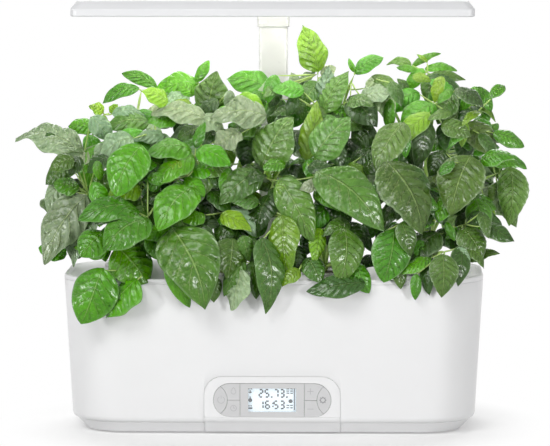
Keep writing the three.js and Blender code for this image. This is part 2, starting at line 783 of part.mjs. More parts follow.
function buildPump() {
  const bottom = tankFloorTop + seatGap;
  const top = bottom + pumpHeight;
  const housing = block(
    [pumpX - pumpLength / 2, pumpY - pumpWidth / 2, bottom],
    [pumpX + pumpLength / 2, pumpY + pumpWidth / 2, top],
  );
  const chamberX = pumpX + pumpLength / 2 - impellerRadius - pumpWall - seatGap;
  const chamberFloor = top - impellerThickness - pumpWall;
  const chamber = bar(chamberX, pumpY, impellerRadius + runGap * 2, chamberFloor, top + overrun);
  const pin = bar(chamberX, pumpY, impellerPinRadius, chamberFloor - pumpWall, top - runGap, podSides);
  const outlet = bar(pumpX - pumpLength / 4, pumpY, riserBore, top - pumpWall * 2, top + overrun, podSides);
  addPiece('pump_body', housing.subtract(chamber).subtract(outlet).add(pin), 'dark');
  const hub = bar(chamberX, pumpY, impellerHub, chamberFloor + runGap, top - runGap * 2, podSides);
  let impeller = hub;
  for (let blade = 0; blade < impellerBlades; blade += 1) {
    const low = [0, -impellerBladeThickness / 2, chamberFloor + runGap];
    const high = [impellerRadius, impellerBladeThickness / 2, chamberFloor + impellerThickness - runGap];
    const turn = new THREE.Matrix4().makeRotationZ(2 * Math.PI * blade / impellerBlades);
    turn.setPosition(chamberX, pumpY, 0);
    impeller = impeller.add(block(low, high).transform(turn.elements));
  }
  const impellerBore = bar(chamberX, pumpY, impellerPinRadius + runGap / 2, bottom, top + overrun, podSides);
  addPiece('pump_impeller', impeller.subtract(impellerBore), 'dark');
  const coverLow = [chamberX - impellerRadius - pumpWall, pumpY - pumpWidth / 2, top + seatGap];
  const coverHigh = [pumpX + pumpLength / 2, pumpY + pumpWidth / 2, top + seatGap + pumpCoverThickness];
  let cover = block(coverLow, coverHigh);
  for (let slot = 0; slot < pumpSlots; slot += 1) {
    const x = coverLow[0] + (coverHigh[0] - coverLow[0]) * (slot + 0.5) / pumpSlots;
    cover = cover.subtract(block(
      [x - pumpWall / 2, coverLow[1] + pumpWall * 2, coverLow[2] - overrun],
      [x + pumpWall / 2, coverHigh[1] - pumpWall * 2, coverHigh[2] + overrun],
    ));
  }
  addPiece('pump_cover', cover, 'dark');
  const riserX = pumpX - pumpLength / 4;
  const riserTop = seamHeight - riserTopGap;
  const riser = bar(riserX, pumpY, riserRadius, top + seatGap, riserTop, podSides)
    .subtract(bar(riserX, pumpY, riserBore, top, riserTop + overrun, podSides));
  addPiece('riser_tube', riser, 'clear');
}

function buildFloat() {
  const footTop = tankFloorTop + seatGap + guideFootThickness;
  const floatBottom = footTop + seatGap;
  const stopBottom = floatBottom + floatHeight + floatTravel + seatGap;
  const guide = bar(floatX, floatY, guideRadius, tankFloorTop + seatGap, stopBottom + guideFootThickness)
    .add(bar(floatX, floatY, guideFootRadius, tankFloorTop + seatGap, footTop))
    .add(bar(floatX, floatY, guideRadius + guideFootThickness, stopBottom, stopBottom + guideFootThickness));
  addPiece('level_guide', guide, 'white');
  const floatTop = floatBottom + floatHeight;
  const floatBore = bar(floatX, floatY, guideRadius + runGap, floatBottom - overrun, floatTop + overrun);
  const float = bar(floatX, floatY, floatRadius, floatBottom, floatTop).subtract(floatBore);
  addPiece('level_float', float, 'foam');
}

function buildInlet() {
  const wallY = tubDepth / 2 - tubInset(inletHeight);
  const flangeBack = wallY + seatGap + inletFlangeThickness;
  const tubeFront = flangeBack - inletLength;
  const tube = turnedAlongY(inletX, inletRadius, tubeFront, flangeBack);
  const flange = turnedAlongY(inletX, inletFlangeRadius, wallY + inletFlangeThickness / 2, flangeBack);
  const bore = turnedAlongY(inletX, inletBore, tubeFront + inletBackWall, flangeBack + overrun);
  addPiece('power_inlet', tube.add(flange).subtract(bore), 'dark');
}

// Stems of each plant, one list per pod in pod order: the place of each tip as [across, up, depth] shares
const stemShares = [
  [
    [0.296, 0.164, -0.68], [0.200, 0.130, -0.60], [0.274, 0.288, -0.25],
    [0.284, 0.048, -0.76], [0.176, 0.212, -0.32],
  ],
  [
    [0.390, 0.284, -0.46], [0.356, 0.136, -0.62], [0.452, 0.176, -0.50],
    [0.480, 0.076, -0.74],
  ],
  [
    [0.528, 0.248, -0.40], [0.568, 0.168, -0.60], [0.636, 0.248, -0.58],
    [0.688, 0.148, -0.62], [0.604, 0.070, -0.74], [0.730, 0.036, -0.76],
  ],
  [
    [0.784, 0.256, -0.52], [0.940, 0.284, -0.40], [0.768, 0.136, -0.66],
    [0.892, 0.096, -0.74], [0.932, 0.152, -0.45],
  ],
  [
    [0.168, 0.290, -0.08], [0.284, 0.420, 0.30], [0.208, 0.372, 0.20],
    [0.316, 0.340, -0.05],
  ],
  [
    [0.416, 0.376, 0.10], [0.540, 0.412, 0.28], [0.400, 0.432, 0.28],
    [0.524, 0.360, -0.10],
  ],
  [
    [0.532, 0.264, -0.30], [0.632, 0.280, -0.30], [0.636, 0.452, 0.05],
    [0.648, 0.376, -0.10], [0.710, 0.452, 0.00],
  ],
  [
    [1.000, 0.256, -0.05], [0.928, 0.352, -0.05], [0.872, 0.392, -0.05],
    [0.856, 0.456, 0.22], [0.808, 0.352, -0.30], [0.748, 0.444, 0.05],
  ],
];

// Leaves of each plant: base [across, up, depth], tip [across, up, depth], width share and roll in degrees
const leafShares = [
  [
    [0.216, 0.056, -0.82, 0.170, -0.052, -0.86, 0.068, 0],
    [0.282, 0.034, -0.81, 0.214, -0.038, -0.81, 0.054, 0],
    [0.300, 0.158, -0.78, 0.206, 0.104, -0.96, 0.092, 0],
    [0.280, 0.176, -0.70, 0.152, 0.156, -0.88, 0.062, 10],
    [0.196, 0.136, -0.68, 0.150, 0.086, -0.78, 0.056, 0],
    [0.220, 0.092, -0.66, 0.292, 0.036, -0.80, 0.072, 0],
    [0.274, 0.296, -0.30, 0.188, 0.194, -0.56, 0.084, 0],
    [0.180, 0.214, -0.35, 0.094, 0.068, -0.60, 0.088, 0],
    [0.128, 0.248, -0.20, 0.094, 0.172, -0.28, 0.040, 0],
    [0.256, 0.110, -0.60, 0.236, 0.050, -0.66, 0.048, 0],
    [0.236, 0.240, -0.45, 0.256, 0.170, -0.55, 0.052, 0],
    [0.300, 0.136, -0.60, 0.330, 0.076, -0.70, 0.048, 0],
    [0.280, 0.224, -0.55, 0.216, 0.208, -0.70, 0.048, 0],
  ],
  [
    [0.384, 0.300, -0.46, 0.296, 0.286, -0.58, 0.048, 20],
    [0.386, 0.280, -0.50, 0.304, 0.240, -0.66, 0.062, 10],
    [0.384, 0.230, -0.55, 0.306, 0.152, -0.84, 0.088, 0],
    [0.396, 0.308, -0.44, 0.406, 0.358, -0.40, 0.028, 0],
    [0.396, 0.304, -0.50, 0.460, 0.264, -0.58, 0.046, 15],
    [0.350, 0.142, -0.72, 0.414, -0.022, -0.90, 0.128, 0],
    [0.340, 0.076, -0.78, 0.380, -0.018, -0.80, 0.042, 0],
    [0.472, 0.120, -0.62, 0.448, 0.042, -0.76, 0.068, 0],
    [0.444, 0.168, -0.60, 0.506, 0.136, -0.66, 0.038, 10],
    [0.452, 0.188, -0.45, 0.514, 0.130, -0.58, 0.042, 0],
    [0.408, 0.172, -0.60, 0.368, 0.148, -0.68, 0.036, 0],
    [0.480, 0.064, -0.80, 0.464, -0.024, -0.82, 0.056, 0],
    [0.352, 0.184, -0.62, 0.380, 0.120, -0.68, 0.048, 0],
    [0.420, 0.260, -0.45, 0.392, 0.200, -0.55, 0.044, 0],
    [0.420, 0.220, -0.48, 0.464, 0.172, -0.56, 0.040, 0],
    [0.428, 0.076, -0.60, 0.400, 0.020, -0.70, 0.044, 0],
  ],
  [
    [0.524, 0.256, -0.45, 0.440, 0.190, -0.60, 0.072, 0],
    [0.524, 0.124, -0.76, 0.534, -0.030, -0.84, 0.064, 0],
    [0.564, 0.172, -0.70, 0.576, 0.046, -0.80, 0.068, 0],
    [0.560, 0.244, -0.60, 0.616, 0.112, -0.72, 0.078, 0],
    [0.636, 0.256, -0.66, 0.772, 0.142, -0.84, 0.094, 0],
    [0.624, 0.240, -0.60, 0.680, 0.178, -0.68, 0.042, 0],
    [0.692, 0.148, -0.68, 0.682, 0.026, -0.82, 0.070, 0],
    [0.684, 0.152, -0.58, 0.732, 0.100, -0.66, 0.050, 0],
    [0.652, 0.164, -0.56, 0.660, 0.106, -0.64, 0.038, 0],
    [0.640, 0.138, -0.64, 0.628, 0.070, -0.74, 0.036, 0],
    [0.616, 0.084, -0.70, 0.644, 0.032, -0.80, 0.044, 0],
    [0.732, 0.034, -0.80, 0.616, 0.014, -0.83, 0.042, 0],
    [0.596, 0.060, -0.78, 0.566, 0.024, -0.82, 0.034, 0],
    [0.540, 0.210, -0.50, 0.512, 0.136, -0.60, 0.052, 0],
    [0.600, 0.200, -0.50, 0.600, 0.130, -0.60, 0.048, 0],
    [0.660, 0.210, -0.50, 0.704, 0.156, -0.60, 0.048, 0],
    [0.592, 0.110, -0.62, 0.600, 0.050, -0.70, 0.040, 0],
  ],
  [
    [0.782, 0.264, -0.60, 0.850, 0.134, -0.75, 0.104, 0],
    [0.944, 0.290, -0.45, 0.902, 0.168, -0.60, 0.092, 0],
    [0.768, 0.140, -0.72, 0.776, 0.036, -0.82, 0.072, 0],
    [0.888, 0.088, -0.78, 0.886, 0.004, -0.84, 0.060, 0],
    [0.834, 0.052, -0.80, 0.834, -0.002, -0.82, 0.022, 0],
    [0.880, 0.136, -0.50, 0.808, 0.056, -0.66, 0.068, 0],
    [0.948, 0.204, -0.35, 0.964, 0.122, -0.45, 0.056, 0],
    [0.924, 0.148, -0.50, 0.968, 0.084, -0.60, 0.050, 0],
    [0.924, 0.108, -0.64, 0.920, 0.024, -0.78, 0.044, 0],
    [0.932, 0.108, -0.58, 0.970, 0.062, -0.62, 0.022, 0],
    [0.864, 0.084, -0.70, 0.804, 0.056, -0.78, 0.028, 0],
    [0.860, 0.220, -0.40, 0.892, 0.148, -0.50, 0.052, 0],
    [0.800, 0.200, -0.50, 0.768, 0.144, -0.60, 0.044, 0],
    [0.940, 0.180, -0.30, 0.924, 0.120, -0.40, 0.044, 0],
    [0.840, 0.120, -0.60, 0.856, 0.064, -0.66, 0.036, 0],
    [0.904, 0.220, -0.45, 0.880, 0.156, -0.55, 0.040, 0],
  ],
  [
    [0.168, 0.290, -0.10, 0.032, 0.326, -0.10, 0.070, 0],
    [0.280, 0.424, 0.30, 0.206, 0.392, 0.30, 0.026, 30],
    [0.208, 0.376, 0.20, 0.178, 0.388, 0.20, 0.026, 0],
    [0.316, 0.424, 0.35, 0.244, 0.454, 0.35, 0.024, 0],
    [0.300, 0.356, 0.05, 0.204, 0.344, 0.00, 0.042, 0],
    [0.192, 0.344, 0.10, 0.136, 0.348, 0.10, 0.032, 0],
    [0.220, 0.312, -0.15, 0.192, 0.266, -0.25, 0.044, 0],
    [0.330, 0.328, -0.16, 0.264, 0.320, -0.20, 0.028, 0],
    [0.144, 0.280, -0.05, 0.116, 0.232, -0.10, 0.042, 0],
    [0.240, 0.336, -0.10, 0.300, 0.296, -0.20, 0.044, 0],
    [0.192, 0.300, -0.10, 0.248, 0.264, -0.20, 0.044, 0],
    [0.256, 0.284, -0.10, 0.292, 0.232, -0.20, 0.040, 0],
    [0.212, 0.368, 0.15, 0.184, 0.328, 0.12, 0.026, 0],
  ],
  [
    [0.544, 0.412, 0.26, 0.456, 0.448, 0.26, 0.046, 0],
    [0.416, 0.376, 0.10, 0.432, 0.458, 0.10, 0.078, 0],
    [0.400, 0.432, 0.28, 0.308, 0.414, 0.32, 0.052, 0],
    [0.392, 0.436, 0.25, 0.418, 0.480, 0.25, 0.022, 0],
    [0.532, 0.370, -0.05, 0.424, 0.364, -0.10, 0.054, 0],
    [0.524, 0.352, -0.18, 0.452, 0.316, -0.22, 0.050, 0],
    [0.524, 0.416, 0.16, 0.476, 0.388, 0.12, 0.032, 0],
    [0.380, 0.408, 0.20, 0.320, 0.388, 0.15, 0.038, 0],
    [0.410, 0.356, 0.00, 0.304, 0.376, 0.00, 0.036, 0],
    [0.400, 0.344, -0.05, 0.356, 0.320, -0.10, 0.036, 0],
    [0.428, 0.340, -0.10, 0.408, 0.304, -0.20, 0.032, 0],
    [0.472, 0.360, -0.12, 0.500, 0.320, -0.20, 0.032, 0],
  ],
  [
    [0.532, 0.264, -0.33, 0.588, 0.366, -0.30, 0.090, 0],
    [0.630, 0.284, -0.40, 0.702, 0.368, -0.38, 0.072, 0],
    [0.612, 0.280, -0.28, 0.636, 0.400, -0.20, 0.046, 0],
    [0.634, 0.456, 0.05, 0.602, 0.551, 0.08, 0.052, 0],
    [0.640, 0.436, 0.00, 0.606, 0.392, -0.08, 0.046, 0],
    [0.648, 0.376, -0.14, 0.700, 0.458, -0.10, 0.052, 0],
    [0.644, 0.448, 0.10, 0.672, 0.468, 0.12, 0.028, 0],
    [0.700, 0.384, -0.08, 0.636, 0.356, -0.16, 0.044, 0],
    [0.710, 0.456, 0.00, 0.766, 0.488, 0.00, 0.024, 0],
    [0.710, 0.456, 0.00, 0.698, 0.484, 0.00, 0.014, 0],
    [0.600, 0.340, -0.20, 0.580, 0.290, -0.30, 0.040, 0],
    [0.660, 0.320, -0.25, 0.688, 0.264, -0.35, 0.044, 0],
    [0.596, 0.384, 0.00, 0.540, 0.366, -0.05, 0.026, 0],
    [0.652, 0.380, -0.10, 0.658, 0.468, -0.05, 0.048, 0],
  ],
  [
    [1.022, 0.268, -0.10, 1.020, 0.148, -0.18, 0.064, 0],
    [1.000, 0.236, -0.10, 0.980, 0.194, -0.15, 0.028, 0],
    [1.004, 0.290, 0.08, 1.056, 0.264, 0.08, 0.020, 0],
    [0.928, 0.352, -0.10, 0.996, 0.288, -0.15, 0.056, 0],
    [0.904, 0.404, 0.15, 0.994, 0.360, 0.15, 0.026, 0],
    [0.904, 0.400, 0.05, 0.940, 0.358, 0.00, 0.044, 0],
    [0.872, 0.392, -0.10, 0.804, 0.340, -0.20, 0.052, 0],
    [0.810, 0.356, -0.33, 0.752, 0.258, -0.48, 0.070, 0],
    [0.840, 0.416, 0.05, 0.772, 0.380, 0.00, 0.040, 0],
    [0.744, 0.448, 0.05, 0.784, 0.356, -0.10, 0.052, 0],
    [0.850, 0.462, 0.25, 0.916, 0.462, 0.30, 0.020, 0],
    [0.860, 0.448, 0.20, 0.932, 0.440, 0.25, 0.020, 0],
    [0.856, 0.444, 0.15, 0.928, 0.416, 0.20, 0.032, 0],
    [0.824, 0.468, 0.28, 0.882, 0.496, 0.30, 0.016, 0],
    [0.824, 0.472, 0.25, 0.774, 0.474, 0.25, 0.020, 0],
    [0.848, 0.464, 0.20, 0.814, 0.420, 0.18, 0.026, 0],
    [0.956, 0.360, 0.00, 0.986, 0.334, 0.00, 0.028, 0],
    [0.860, 0.376, -0.20, 0.792, 0.300, -0.30, 0.040, 0],
    [0.894, 0.356, -0.05, 0.890, 0.300, -0.10, 0.040, 0],
    [0.808, 0.340, -0.30, 0.812, 0.284, -0.35, 0.026, 0],
  ],
];

// Extra leaves at the back of the back row, evenly turned round each plant
const backLeafCount = 3;
const backLeafUpShare = 0.19;
const backLeafStepShare = 0.1;
const backLeafShiftShares = [-0.01, -0.035, 0.035, 0.025];
const backLeafSpreadShare = 0.075;
const backLeafWidthShare = 0.07;
const backBaseDepthShare = 0.42;
const backTipDepthShare = 0.86;
const backBaseSwingShare = 0.3;

const canopySpan = tubWidth * canopySpanShare;
const canopyRise = (lampBottom - deckTop) * canopyRiseShare;
const canopyDatum = deckTop - canopyHang;
const canopyDepth = tubDepth * canopyDepthShare;

// The place of a point seen at shares across and up the front, carried back to its depth
function seenPlace([across, up, depth]) {
  const eye = new THREE.Vector3(viewSide, -viewDistance, viewHeight);
  const frontPlane = -tubDepth / 2;
  const seenX = (across - axisShare) * canopySpan;
  const seen = new THREE.Vector3(seenX, frontPlane, canopyDatum + up * canopyRise);
  const carry = (viewDistance + depth * canopyDepth) / (viewDistance + frontPlane);
  return seen.sub(eye).multiplyScalar(carry).add(eye);
}

function backLeaves(plant) {
  const leaves = [];
  const column = plant - podColumns;
  const centreShare = axisShare + podPlaces()[plant][0] / canopySpan + backLeafShiftShares[column];
  for (let index = 0; index < backLeafCount; index += 1) {
    const swing = ((index + column) % 2 === 0 ? 1 : -1) * backLeafSpreadShare;
    const up = backLeafUpShare + index * backLeafStepShare;
    const base = [centreShare + swing * backBaseSwingShare, up, backBaseDepthShare];
    const tip = [centreShare + swing, up - backLeafSpreadShare, backTipDepthShare];
    leaves.push([...base, ...tip, backLeafWidthShare, 0]);
  }
  return leaves;
}

// A point on the bend between two points
function bend(from, middle, to, share) {
  const first = from.clone().lerp(middle, share);
  return first.lerp(middle.clone().lerp(to, share), share);
}

// A round stem that thins along a bend from the pod to its tip
function stemPath(pod, tip) {
  const root = new THREE.Vector3(pod[0], pod[1], deckTop);
  const middle = root.clone().lerp(tip, stemLeanShare);
  middle.z = root.z + Math.max(tip.z - root.z, spongeHeight) * stemRiseShare;
  return (share) => bend(root, middle, tip, share);
}

// The four corners of a stem's section
function squareRing(centre, side, other, radius) {
  const ring = [];
  for (let corner = 0; corner < stemSides; corner += 1) {
    const angle = 2 * Math.PI * corner / stemSides;
    const point = centre.clone().addScaledVector(side, radius * Math.cos(angle));
    ring.push(point.addScaledVector(other, radius * Math.sin(angle)).toArray());
  }
  return ring;
}

function stemSolid(path, grow) {
  const rings = [];
  for (let step = 0; step <= stemSteps; step += 1) {
    const share = step / stemSteps;
    const centre = path(share);
    const before = path(Math.max(0, share - stemStepShare));
    const ahead = path(Math.min(1, share + stemStepShare)).sub(before).normalize();
    const side = new THREE.Vector3(1, 0, 0).cross(ahead).normalize();
    const other = ahead.clone().cross(side);
    const radius = stemRadius + (stemTipRadius - stemRadius) * share + grow;
    rings.push(squareRing(centre, side, other, radius));
  }
  return ringSolid(rings);
}

// A thin square stalk between two points
function stalkSolid(from, to, radius) {
  const along = to.clone().sub(from).normalize();
  const side = new THREE.Vector3(0, stalkTiltShare, 1).cross(along).normalize();
  const other = along.clone().cross(side);
  return ringSolid([from, to].map((centre) => squareRing(centre, side, other, radius)));
}

// A leaf with its stalk: diamond sections from base to tip, folded along the midrib
function leafSolid(paths, leaf, grow) {
  const base = seenPlace(leaf.slice(0, 3));
  const tip = seenPlace(leaf.slice(3, 6));
  const halfWidth = leaf[6] * canopySpan / 2;
  const roll = THREE.MathUtils.degToRad(leaf[7]);
  const start = nearestOnStems(paths, base);
  const along = tip.clone().sub(base);
  const length = along.length();
  along.normalize();
  const turn = tip.y > base.y && tip.y > canopyDepth / 2 ? 1 : -1;
  const facing = new THREE.Vector3(0, turn * leafForwardShare, leafUpwardShare);
  const side = along.clone().cross(facing).normalize().applyAxisAngle(along, roll);
  const normal = side.clone().cross(along);
  const middle = base.clone().add(tip).divideScalar(2).addScaledVector(normal, 2 * leafArchShare * length);
  const rings = [];
  const addRing = (centre, half, thick) => {
    const drop = -leafFoldShare * half;
    rings.push([
      centre.clone().addScaledVector(side, half).addScaledVector(normal, drop).toArray(),
      centre.clone().addScaledVector(normal, thick).toArray(),
      centre.clone().addScaledVector(side, -half).addScaledVector(normal, drop).toArray(),
      centre.clone().addScaledVector(normal, -thick).toArray(),
    ]);
  };
  addRing(base, leafBaseWidthShare * halfWidth + petioleRadius + grow, leafHalfThickness + grow);
  leafStationShares.forEach((share, index) => {
    const half = leafWidthShares[index] * halfWidth + grow;
    addRing(bend(base, middle, tip, share), half, leafHalfThickness + grow);
  });
  addRing(tip.clone().addScaledVector(along, grow), petioleRadius / 2 + grow, leafHalfThickness / 2 + grow);
  const blade = ringSolid(rings.map((ring) => ring.reverse()));
  const grip = base.clone().lerp(bend(base, middle, tip, leafStationShares[0]), stalkGripShare);
  return blade.add(stalkSolid(start, grip, petioleRadius + grow));
}

// The nearest place on a plant's stems, where a leaf's stalk starts
function nearestOnStems(paths, target) {
  let best = null;
  paths.forEach((path) => {
    for (let step = 2; step <= stalkPlaces; step += 1) {
      const point = path(step / stalkPlaces);
      if (best === null || point.distanceTo(target) < best.distanceTo(target)) best = point;
    }
  });
  return best;
}

const tubSpace = block(
  [-tubWidth / 2 - leafClearance, -tubDepth / 2 - leafClearance, 0],
  [tubWidth / 2 + leafClearance, tubDepth / 2 + leafClearance, rimTop + leafClearance],
);

function plantSolid(plant, grow) {
  const pod = podPlaces()[plant];
  const paths = stemShares[plant].map((shares) => stemPath(pod, seenPlace(shares)));
  const leaves = plant < podColumns ? leafShares[plant] : [...leafShares[plant], ...backLeaves(plant)];
  const crownBottom = deckTop - spongeHeight * crownShare;
  const crownTop = rimTop + stemRadius * 2;
  const crown = bar(pod[0], pod[1], spongeHoleRadius - seatGap, crownBottom, crownTop, crownSides);
  const stems = paths.map((path) => stemSolid(path, grow));
  const blades = leaves.map((leaf) => leafSolid(paths, leaf, grow));
  return union([...stems, ...blades]).subtract(tubSpace).add(crown);
}

// The surface that holds the lowest point of a plant, once its neighbours have been cut from it: loose bits
// of leaf and closed hollows between crossing leaves are left out
function rooted(solid) {
  const { vertProperties, triVerts } = solid.simplify(plantDetail).getMesh();
  const owner = Array.from({ length: vertProperties.length / 3 }, (_, index) => index);
  const find = (vertex) => {
    let top = vertex;
    while (owner[top] !== top) {
      owner[top] = owner[owner[top]];
      top = owner[top];
    }
    return top;
  };
  for (let corner = 0; corner < triVerts.length; corner += 3) {
    owner[find(triVerts[corner])] = find(triVerts[corner + 1]);
    owner[find(triVerts[corner + 1])] = find(triVerts[corner + 2]);
  }
  let lowest = 0;
  for (let vertex = 1; vertex < owner.length; vertex += 1) {
    if (vertProperties[3 * vertex + 2] < vertProperties[3 * lowest + 2]) lowest = vertex;
  }
  const kept = [];
  for (let corner = 0; corner < triVerts.length; corner += 3) {
    if (find(triVerts[corner]) === find(lowest)) kept.push(...triVerts.subarray(corner, corner + 3));
  }
  const geometry = new THREE.BufferGeometry();
  geometry.setAttribute('position', new THREE.BufferAttribute(new Float32Array(vertProperties), 3));
  geometry.setIndex(kept);
  let plant = toSolid(geometry);
  for (let pass = 0; pass < settlePasses; pass += 1) {
    const bodies = toSolid(geometryOf(plant)).simplify(plantDetail).decompose();
    plant = bodies.reduce((whole, body) => (body.volume() > whole.volume() ? body : whole));
  }
  return parted(plant);
}

// Leaves that only touch along an edge are drawn back from each other by a hair, so the surface stays simple
function parted(solid) {
  const geometry = geometryOf(solid);
  geometry.computeVertexNormals();
  const { position, normal } = geometry.attributes;
  const places = new Map();
  const keyOf = (vertex) => [position.getX(vertex), position.getY(vertex), position.getZ(vertex)]
    .map((value) => Math.round(value / touchDistance)).join(' ');
  for (let vertex = 0; vertex < position.count; vertex += 1) {
    places.set(keyOf(vertex), [...(places.get(keyOf(vertex)) ?? []), vertex]);
  }
  [...places.values()].filter((group) => group.length > 1).flat().forEach((vertex) => {
    position.setXYZ(
      vertex,
      position.getX(vertex) - normal.getX(vertex) * touchRelief,
      position.getY(vertex) - normal.getY(vertex) * touchRelief,
      position.getZ(vertex) - normal.getZ(vertex) * touchRelief,
    );
  });
  return toSolid(geometry);
}

function buildPlants() {
  const flapSwing = block(
    [flapX - earInner - hingeEarThickness - runGap, flapY - flapDepth / 2 - runGap, deckTop],
    [flapX + earInner + hingeEarThickness + runGap, tubDepth, deckTop + flapDepth + flapSwingRoom],
  );
  let taken = union([mastTube(sleeveWall + sleeveFlange, deckTop, lampBottom), flapSwing]);
  const frontFirst = [0, 1, 2, 3, 6, 5, 7, 4];
  frontFirst.forEach((plant) => {
    const finish = plant % podColumns < podColumns / 2 ? 'brightLeaf' : 'darkLeaf';
    const own = rooted(plantSolid(plant, 0).subtract(taken));
    addPiece(`plant_${plant + 1}`, own, finish);
    taken = taken.add(plantSolid(plant, plantGap));
  });
}

buildCasing();
buildBase();
buildTank();
buildDeck();
buildFlap();
buildPods();
buildSleeve();
buildMast();
buildLamp();
buildPanel();
buildPump();
buildFloat();
buildInlet();
buildPlants();

export default garden;
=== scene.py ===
"""Looks of a countertop hydroponic garden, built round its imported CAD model. Metres, +Z up, the front
towards -Y."""
import json
import math

import bpy
import numpy as np
from bpy.props import FloatProperty, FloatVectorProperty, IntProperty, PointerProperty
from mathutils import Euler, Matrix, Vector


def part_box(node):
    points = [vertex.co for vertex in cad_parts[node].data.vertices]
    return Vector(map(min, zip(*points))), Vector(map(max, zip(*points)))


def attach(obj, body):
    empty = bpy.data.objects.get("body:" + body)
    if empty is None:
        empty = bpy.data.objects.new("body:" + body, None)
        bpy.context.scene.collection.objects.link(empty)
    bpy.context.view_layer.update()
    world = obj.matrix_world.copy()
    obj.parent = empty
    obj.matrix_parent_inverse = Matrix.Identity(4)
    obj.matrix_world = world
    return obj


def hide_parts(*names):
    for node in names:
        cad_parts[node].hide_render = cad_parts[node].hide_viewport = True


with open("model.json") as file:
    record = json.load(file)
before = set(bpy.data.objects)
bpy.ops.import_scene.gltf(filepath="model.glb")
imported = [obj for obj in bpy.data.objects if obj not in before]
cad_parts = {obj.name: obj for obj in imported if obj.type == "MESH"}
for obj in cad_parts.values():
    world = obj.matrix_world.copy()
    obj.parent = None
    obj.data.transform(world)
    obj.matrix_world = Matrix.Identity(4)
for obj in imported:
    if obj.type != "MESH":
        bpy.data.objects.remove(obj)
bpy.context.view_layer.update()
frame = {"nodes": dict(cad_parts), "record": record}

bl_info = {
    "name": "Countertop garden looks",
    "version": (1, 0, 0),
    "blender": (4, 5, 0),
    "location": "3D View > Sidebar > Garden",
    "description": "Skins, plants, marks, finishes and studio for a countertop hydroponic garden",
    "category": "Object",
}

MM = 0.001
TINY = 1e-9

# Heights and insets of the tub, in millimetres, as the solids have them
SEAM_HEIGHT = 140.5
CREASE_HEIGHT = 11.8
TUB_TAPER = 7.5
CREASE_INSET = 4.0
EDGE_ROUND = 5.4
BASE_BOTTOM = 1.6
BASE_INSET = 8.5
BASE_TURN_IN = 12
SKIN = 2.5
INSERT_SKIN = 2.0
GAP = 0.3
FINE_GAP = 0.15
WALL_BAND = 6

# Shares of the round above the crease at which the skins have a row of points
ROUND_SHARES = np.array([0.0, 0.04, 0.12, 0.24, 0.4, 0.6, 0.8, 1.0])

# Points along each rounded corner and straight wall, and rows and columns of the skins
TUB_CORNER_STEPS = 30
TUB_SIDE_STEPS = 14
LID_CORNER_STEPS = 40
LAMP_CORNER_STEPS = 14
POST_CORNER_STEPS = 12
WALL_ROWS = 9
ARCH_COLUMNS = 61

# Outline of the front insert and its stadium, in millimetres
ARCH_HALF = 62.75
ARCH_TOP = 55.1
ARCH_RADIUS = 17.5
STADIUM_HALF = 54.4
STADIUM_RADIUS = 15.8
STADIUM_CENTRE = 33.1
STADIUM_FOOT = 0.1
SIDE_TOLERANCE = 0.05

# How the plate of the insert is found: rays from the stadium out to the arch, tried in even steps
RAY_COUNT = 193
RAY_REACH = 400.0
PROBE_REACH = 60.0
PROBE_STEPS = 400
TOE_COLUMNS = 41

# Fine sizes of the skins, in metres
WELD = 0.00002
LID_WELD = 0.00001
POST_WELD = 0.000002
LEAF_WELD = 0.000001
LID_PROUD = 0.00003
LID_UNDER_FLANGE = 0.0019
LID_HEM = 0.004
LID_LIP = 0.0004
LID_TREAD = 0.006
LID_COVER = 0.00006
INSERT_SINK = 0.0003
INSERT_EDGE = 0.0002
POST_CORNER = 0.0032
LEAST_CORNER = 0.0002
MAST_EDGE = 0.0006
COLLAR_EDGE = 0.0009

# Fine sizes of the lamp, in metres
LAMP_EDGE = 0.0014
LAMP_SOFT = 0.0006
LAMP_CORNER = 0.007
LAMP_SHOULDER = 0.0007
LAMP_BRINK = 0.0002
LAMP_ROOF = 0.0022
POCKET_STEP = 0.006
POCKET_FLARE = 0.0003
POCKET_CORNER = 0.0048

# Width of the photograph in pixels, and the view it was taken from, in metres and degrees, with lens and
# sensor in millimetres
PHOTO_WIDTH = 550
VIEW_DISTANCE = 3.5
VIEW_HEIGHT = 0.4955
VIEW_SIDE = 0.092
VIEW_PITCH = 5.0
VIEW_YAW = 1.5
VIEW_LENS = 244.7
VIEW_REACH = 50
SENSOR = 36.0
FOCAL_PIXELS = VIEW_LENS / SENSOR * PHOTO_WIDTH

# The canopy: its depth, and the width that CANOPY_PIXELS pixels show of it, both in metres, its axis as a
# share of that width, the pixel row of its datum, and how far that lies below the seam, in millimetres
CANOPY_DEPTH = 0.125
CANOPY_SPAN = 0.456
CANOPY_AXIS = 0.545
CANOPY_PIXELS = 500
CANOPY_ZERO = 300
CANOPY_HANG = 13.0

# The front wall as the photograph shows it: millimetres to a pixel, and the pixel of the stadium's middle
PANEL_SCALE = 0.9128
PANEL_X = 272.5
PANEL_Y = 399.8

# Colours of hidden or small parts
RUBBER = (0.035, 0.035, 0.036)
TANK_WHITE = (0.76, 0.78, 0.8)
COVER_TINT = (0.93, 0.95, 0.96)
WINDOW_TINT = (0.95, 0.98, 0.99)
PUMP_BLACK = (0.02, 0.02, 0.022)
FOAM = (0.75, 0.5, 0.06)
BASKET_WHITE = (0.78, 0.78, 0.77)

# Scales of noise and patterns, per metre, and depths of bumps, in metres
MOULD_GRAIN = 1400.0
FINE_GRAIN = 900.0
COARSE_GRAIN = 700.0
FOAM_CELLS = 500.0
PORES_PER_METRE = 650.0
LANES_PER_METRE = 260.0
MOULD_DEPTH = 0.00004
SHALLOW = 0.0001
PORE_DEPTH = 0.0008
BLISTER_DEPTH = 0.0019

# Side veins along a leaf, how far they slant towards the tip, the bend of that slant across the blade, and
# the share of light that comes through
VEINS = {"leaf_bright": 5.5, "leaf_veined": 7.0, "leaf_toothed": 7.5}
VEIN_SLANT = 1.9
VEIN_CURVE = 0.85
LIGHT_THROUGH = 0.2

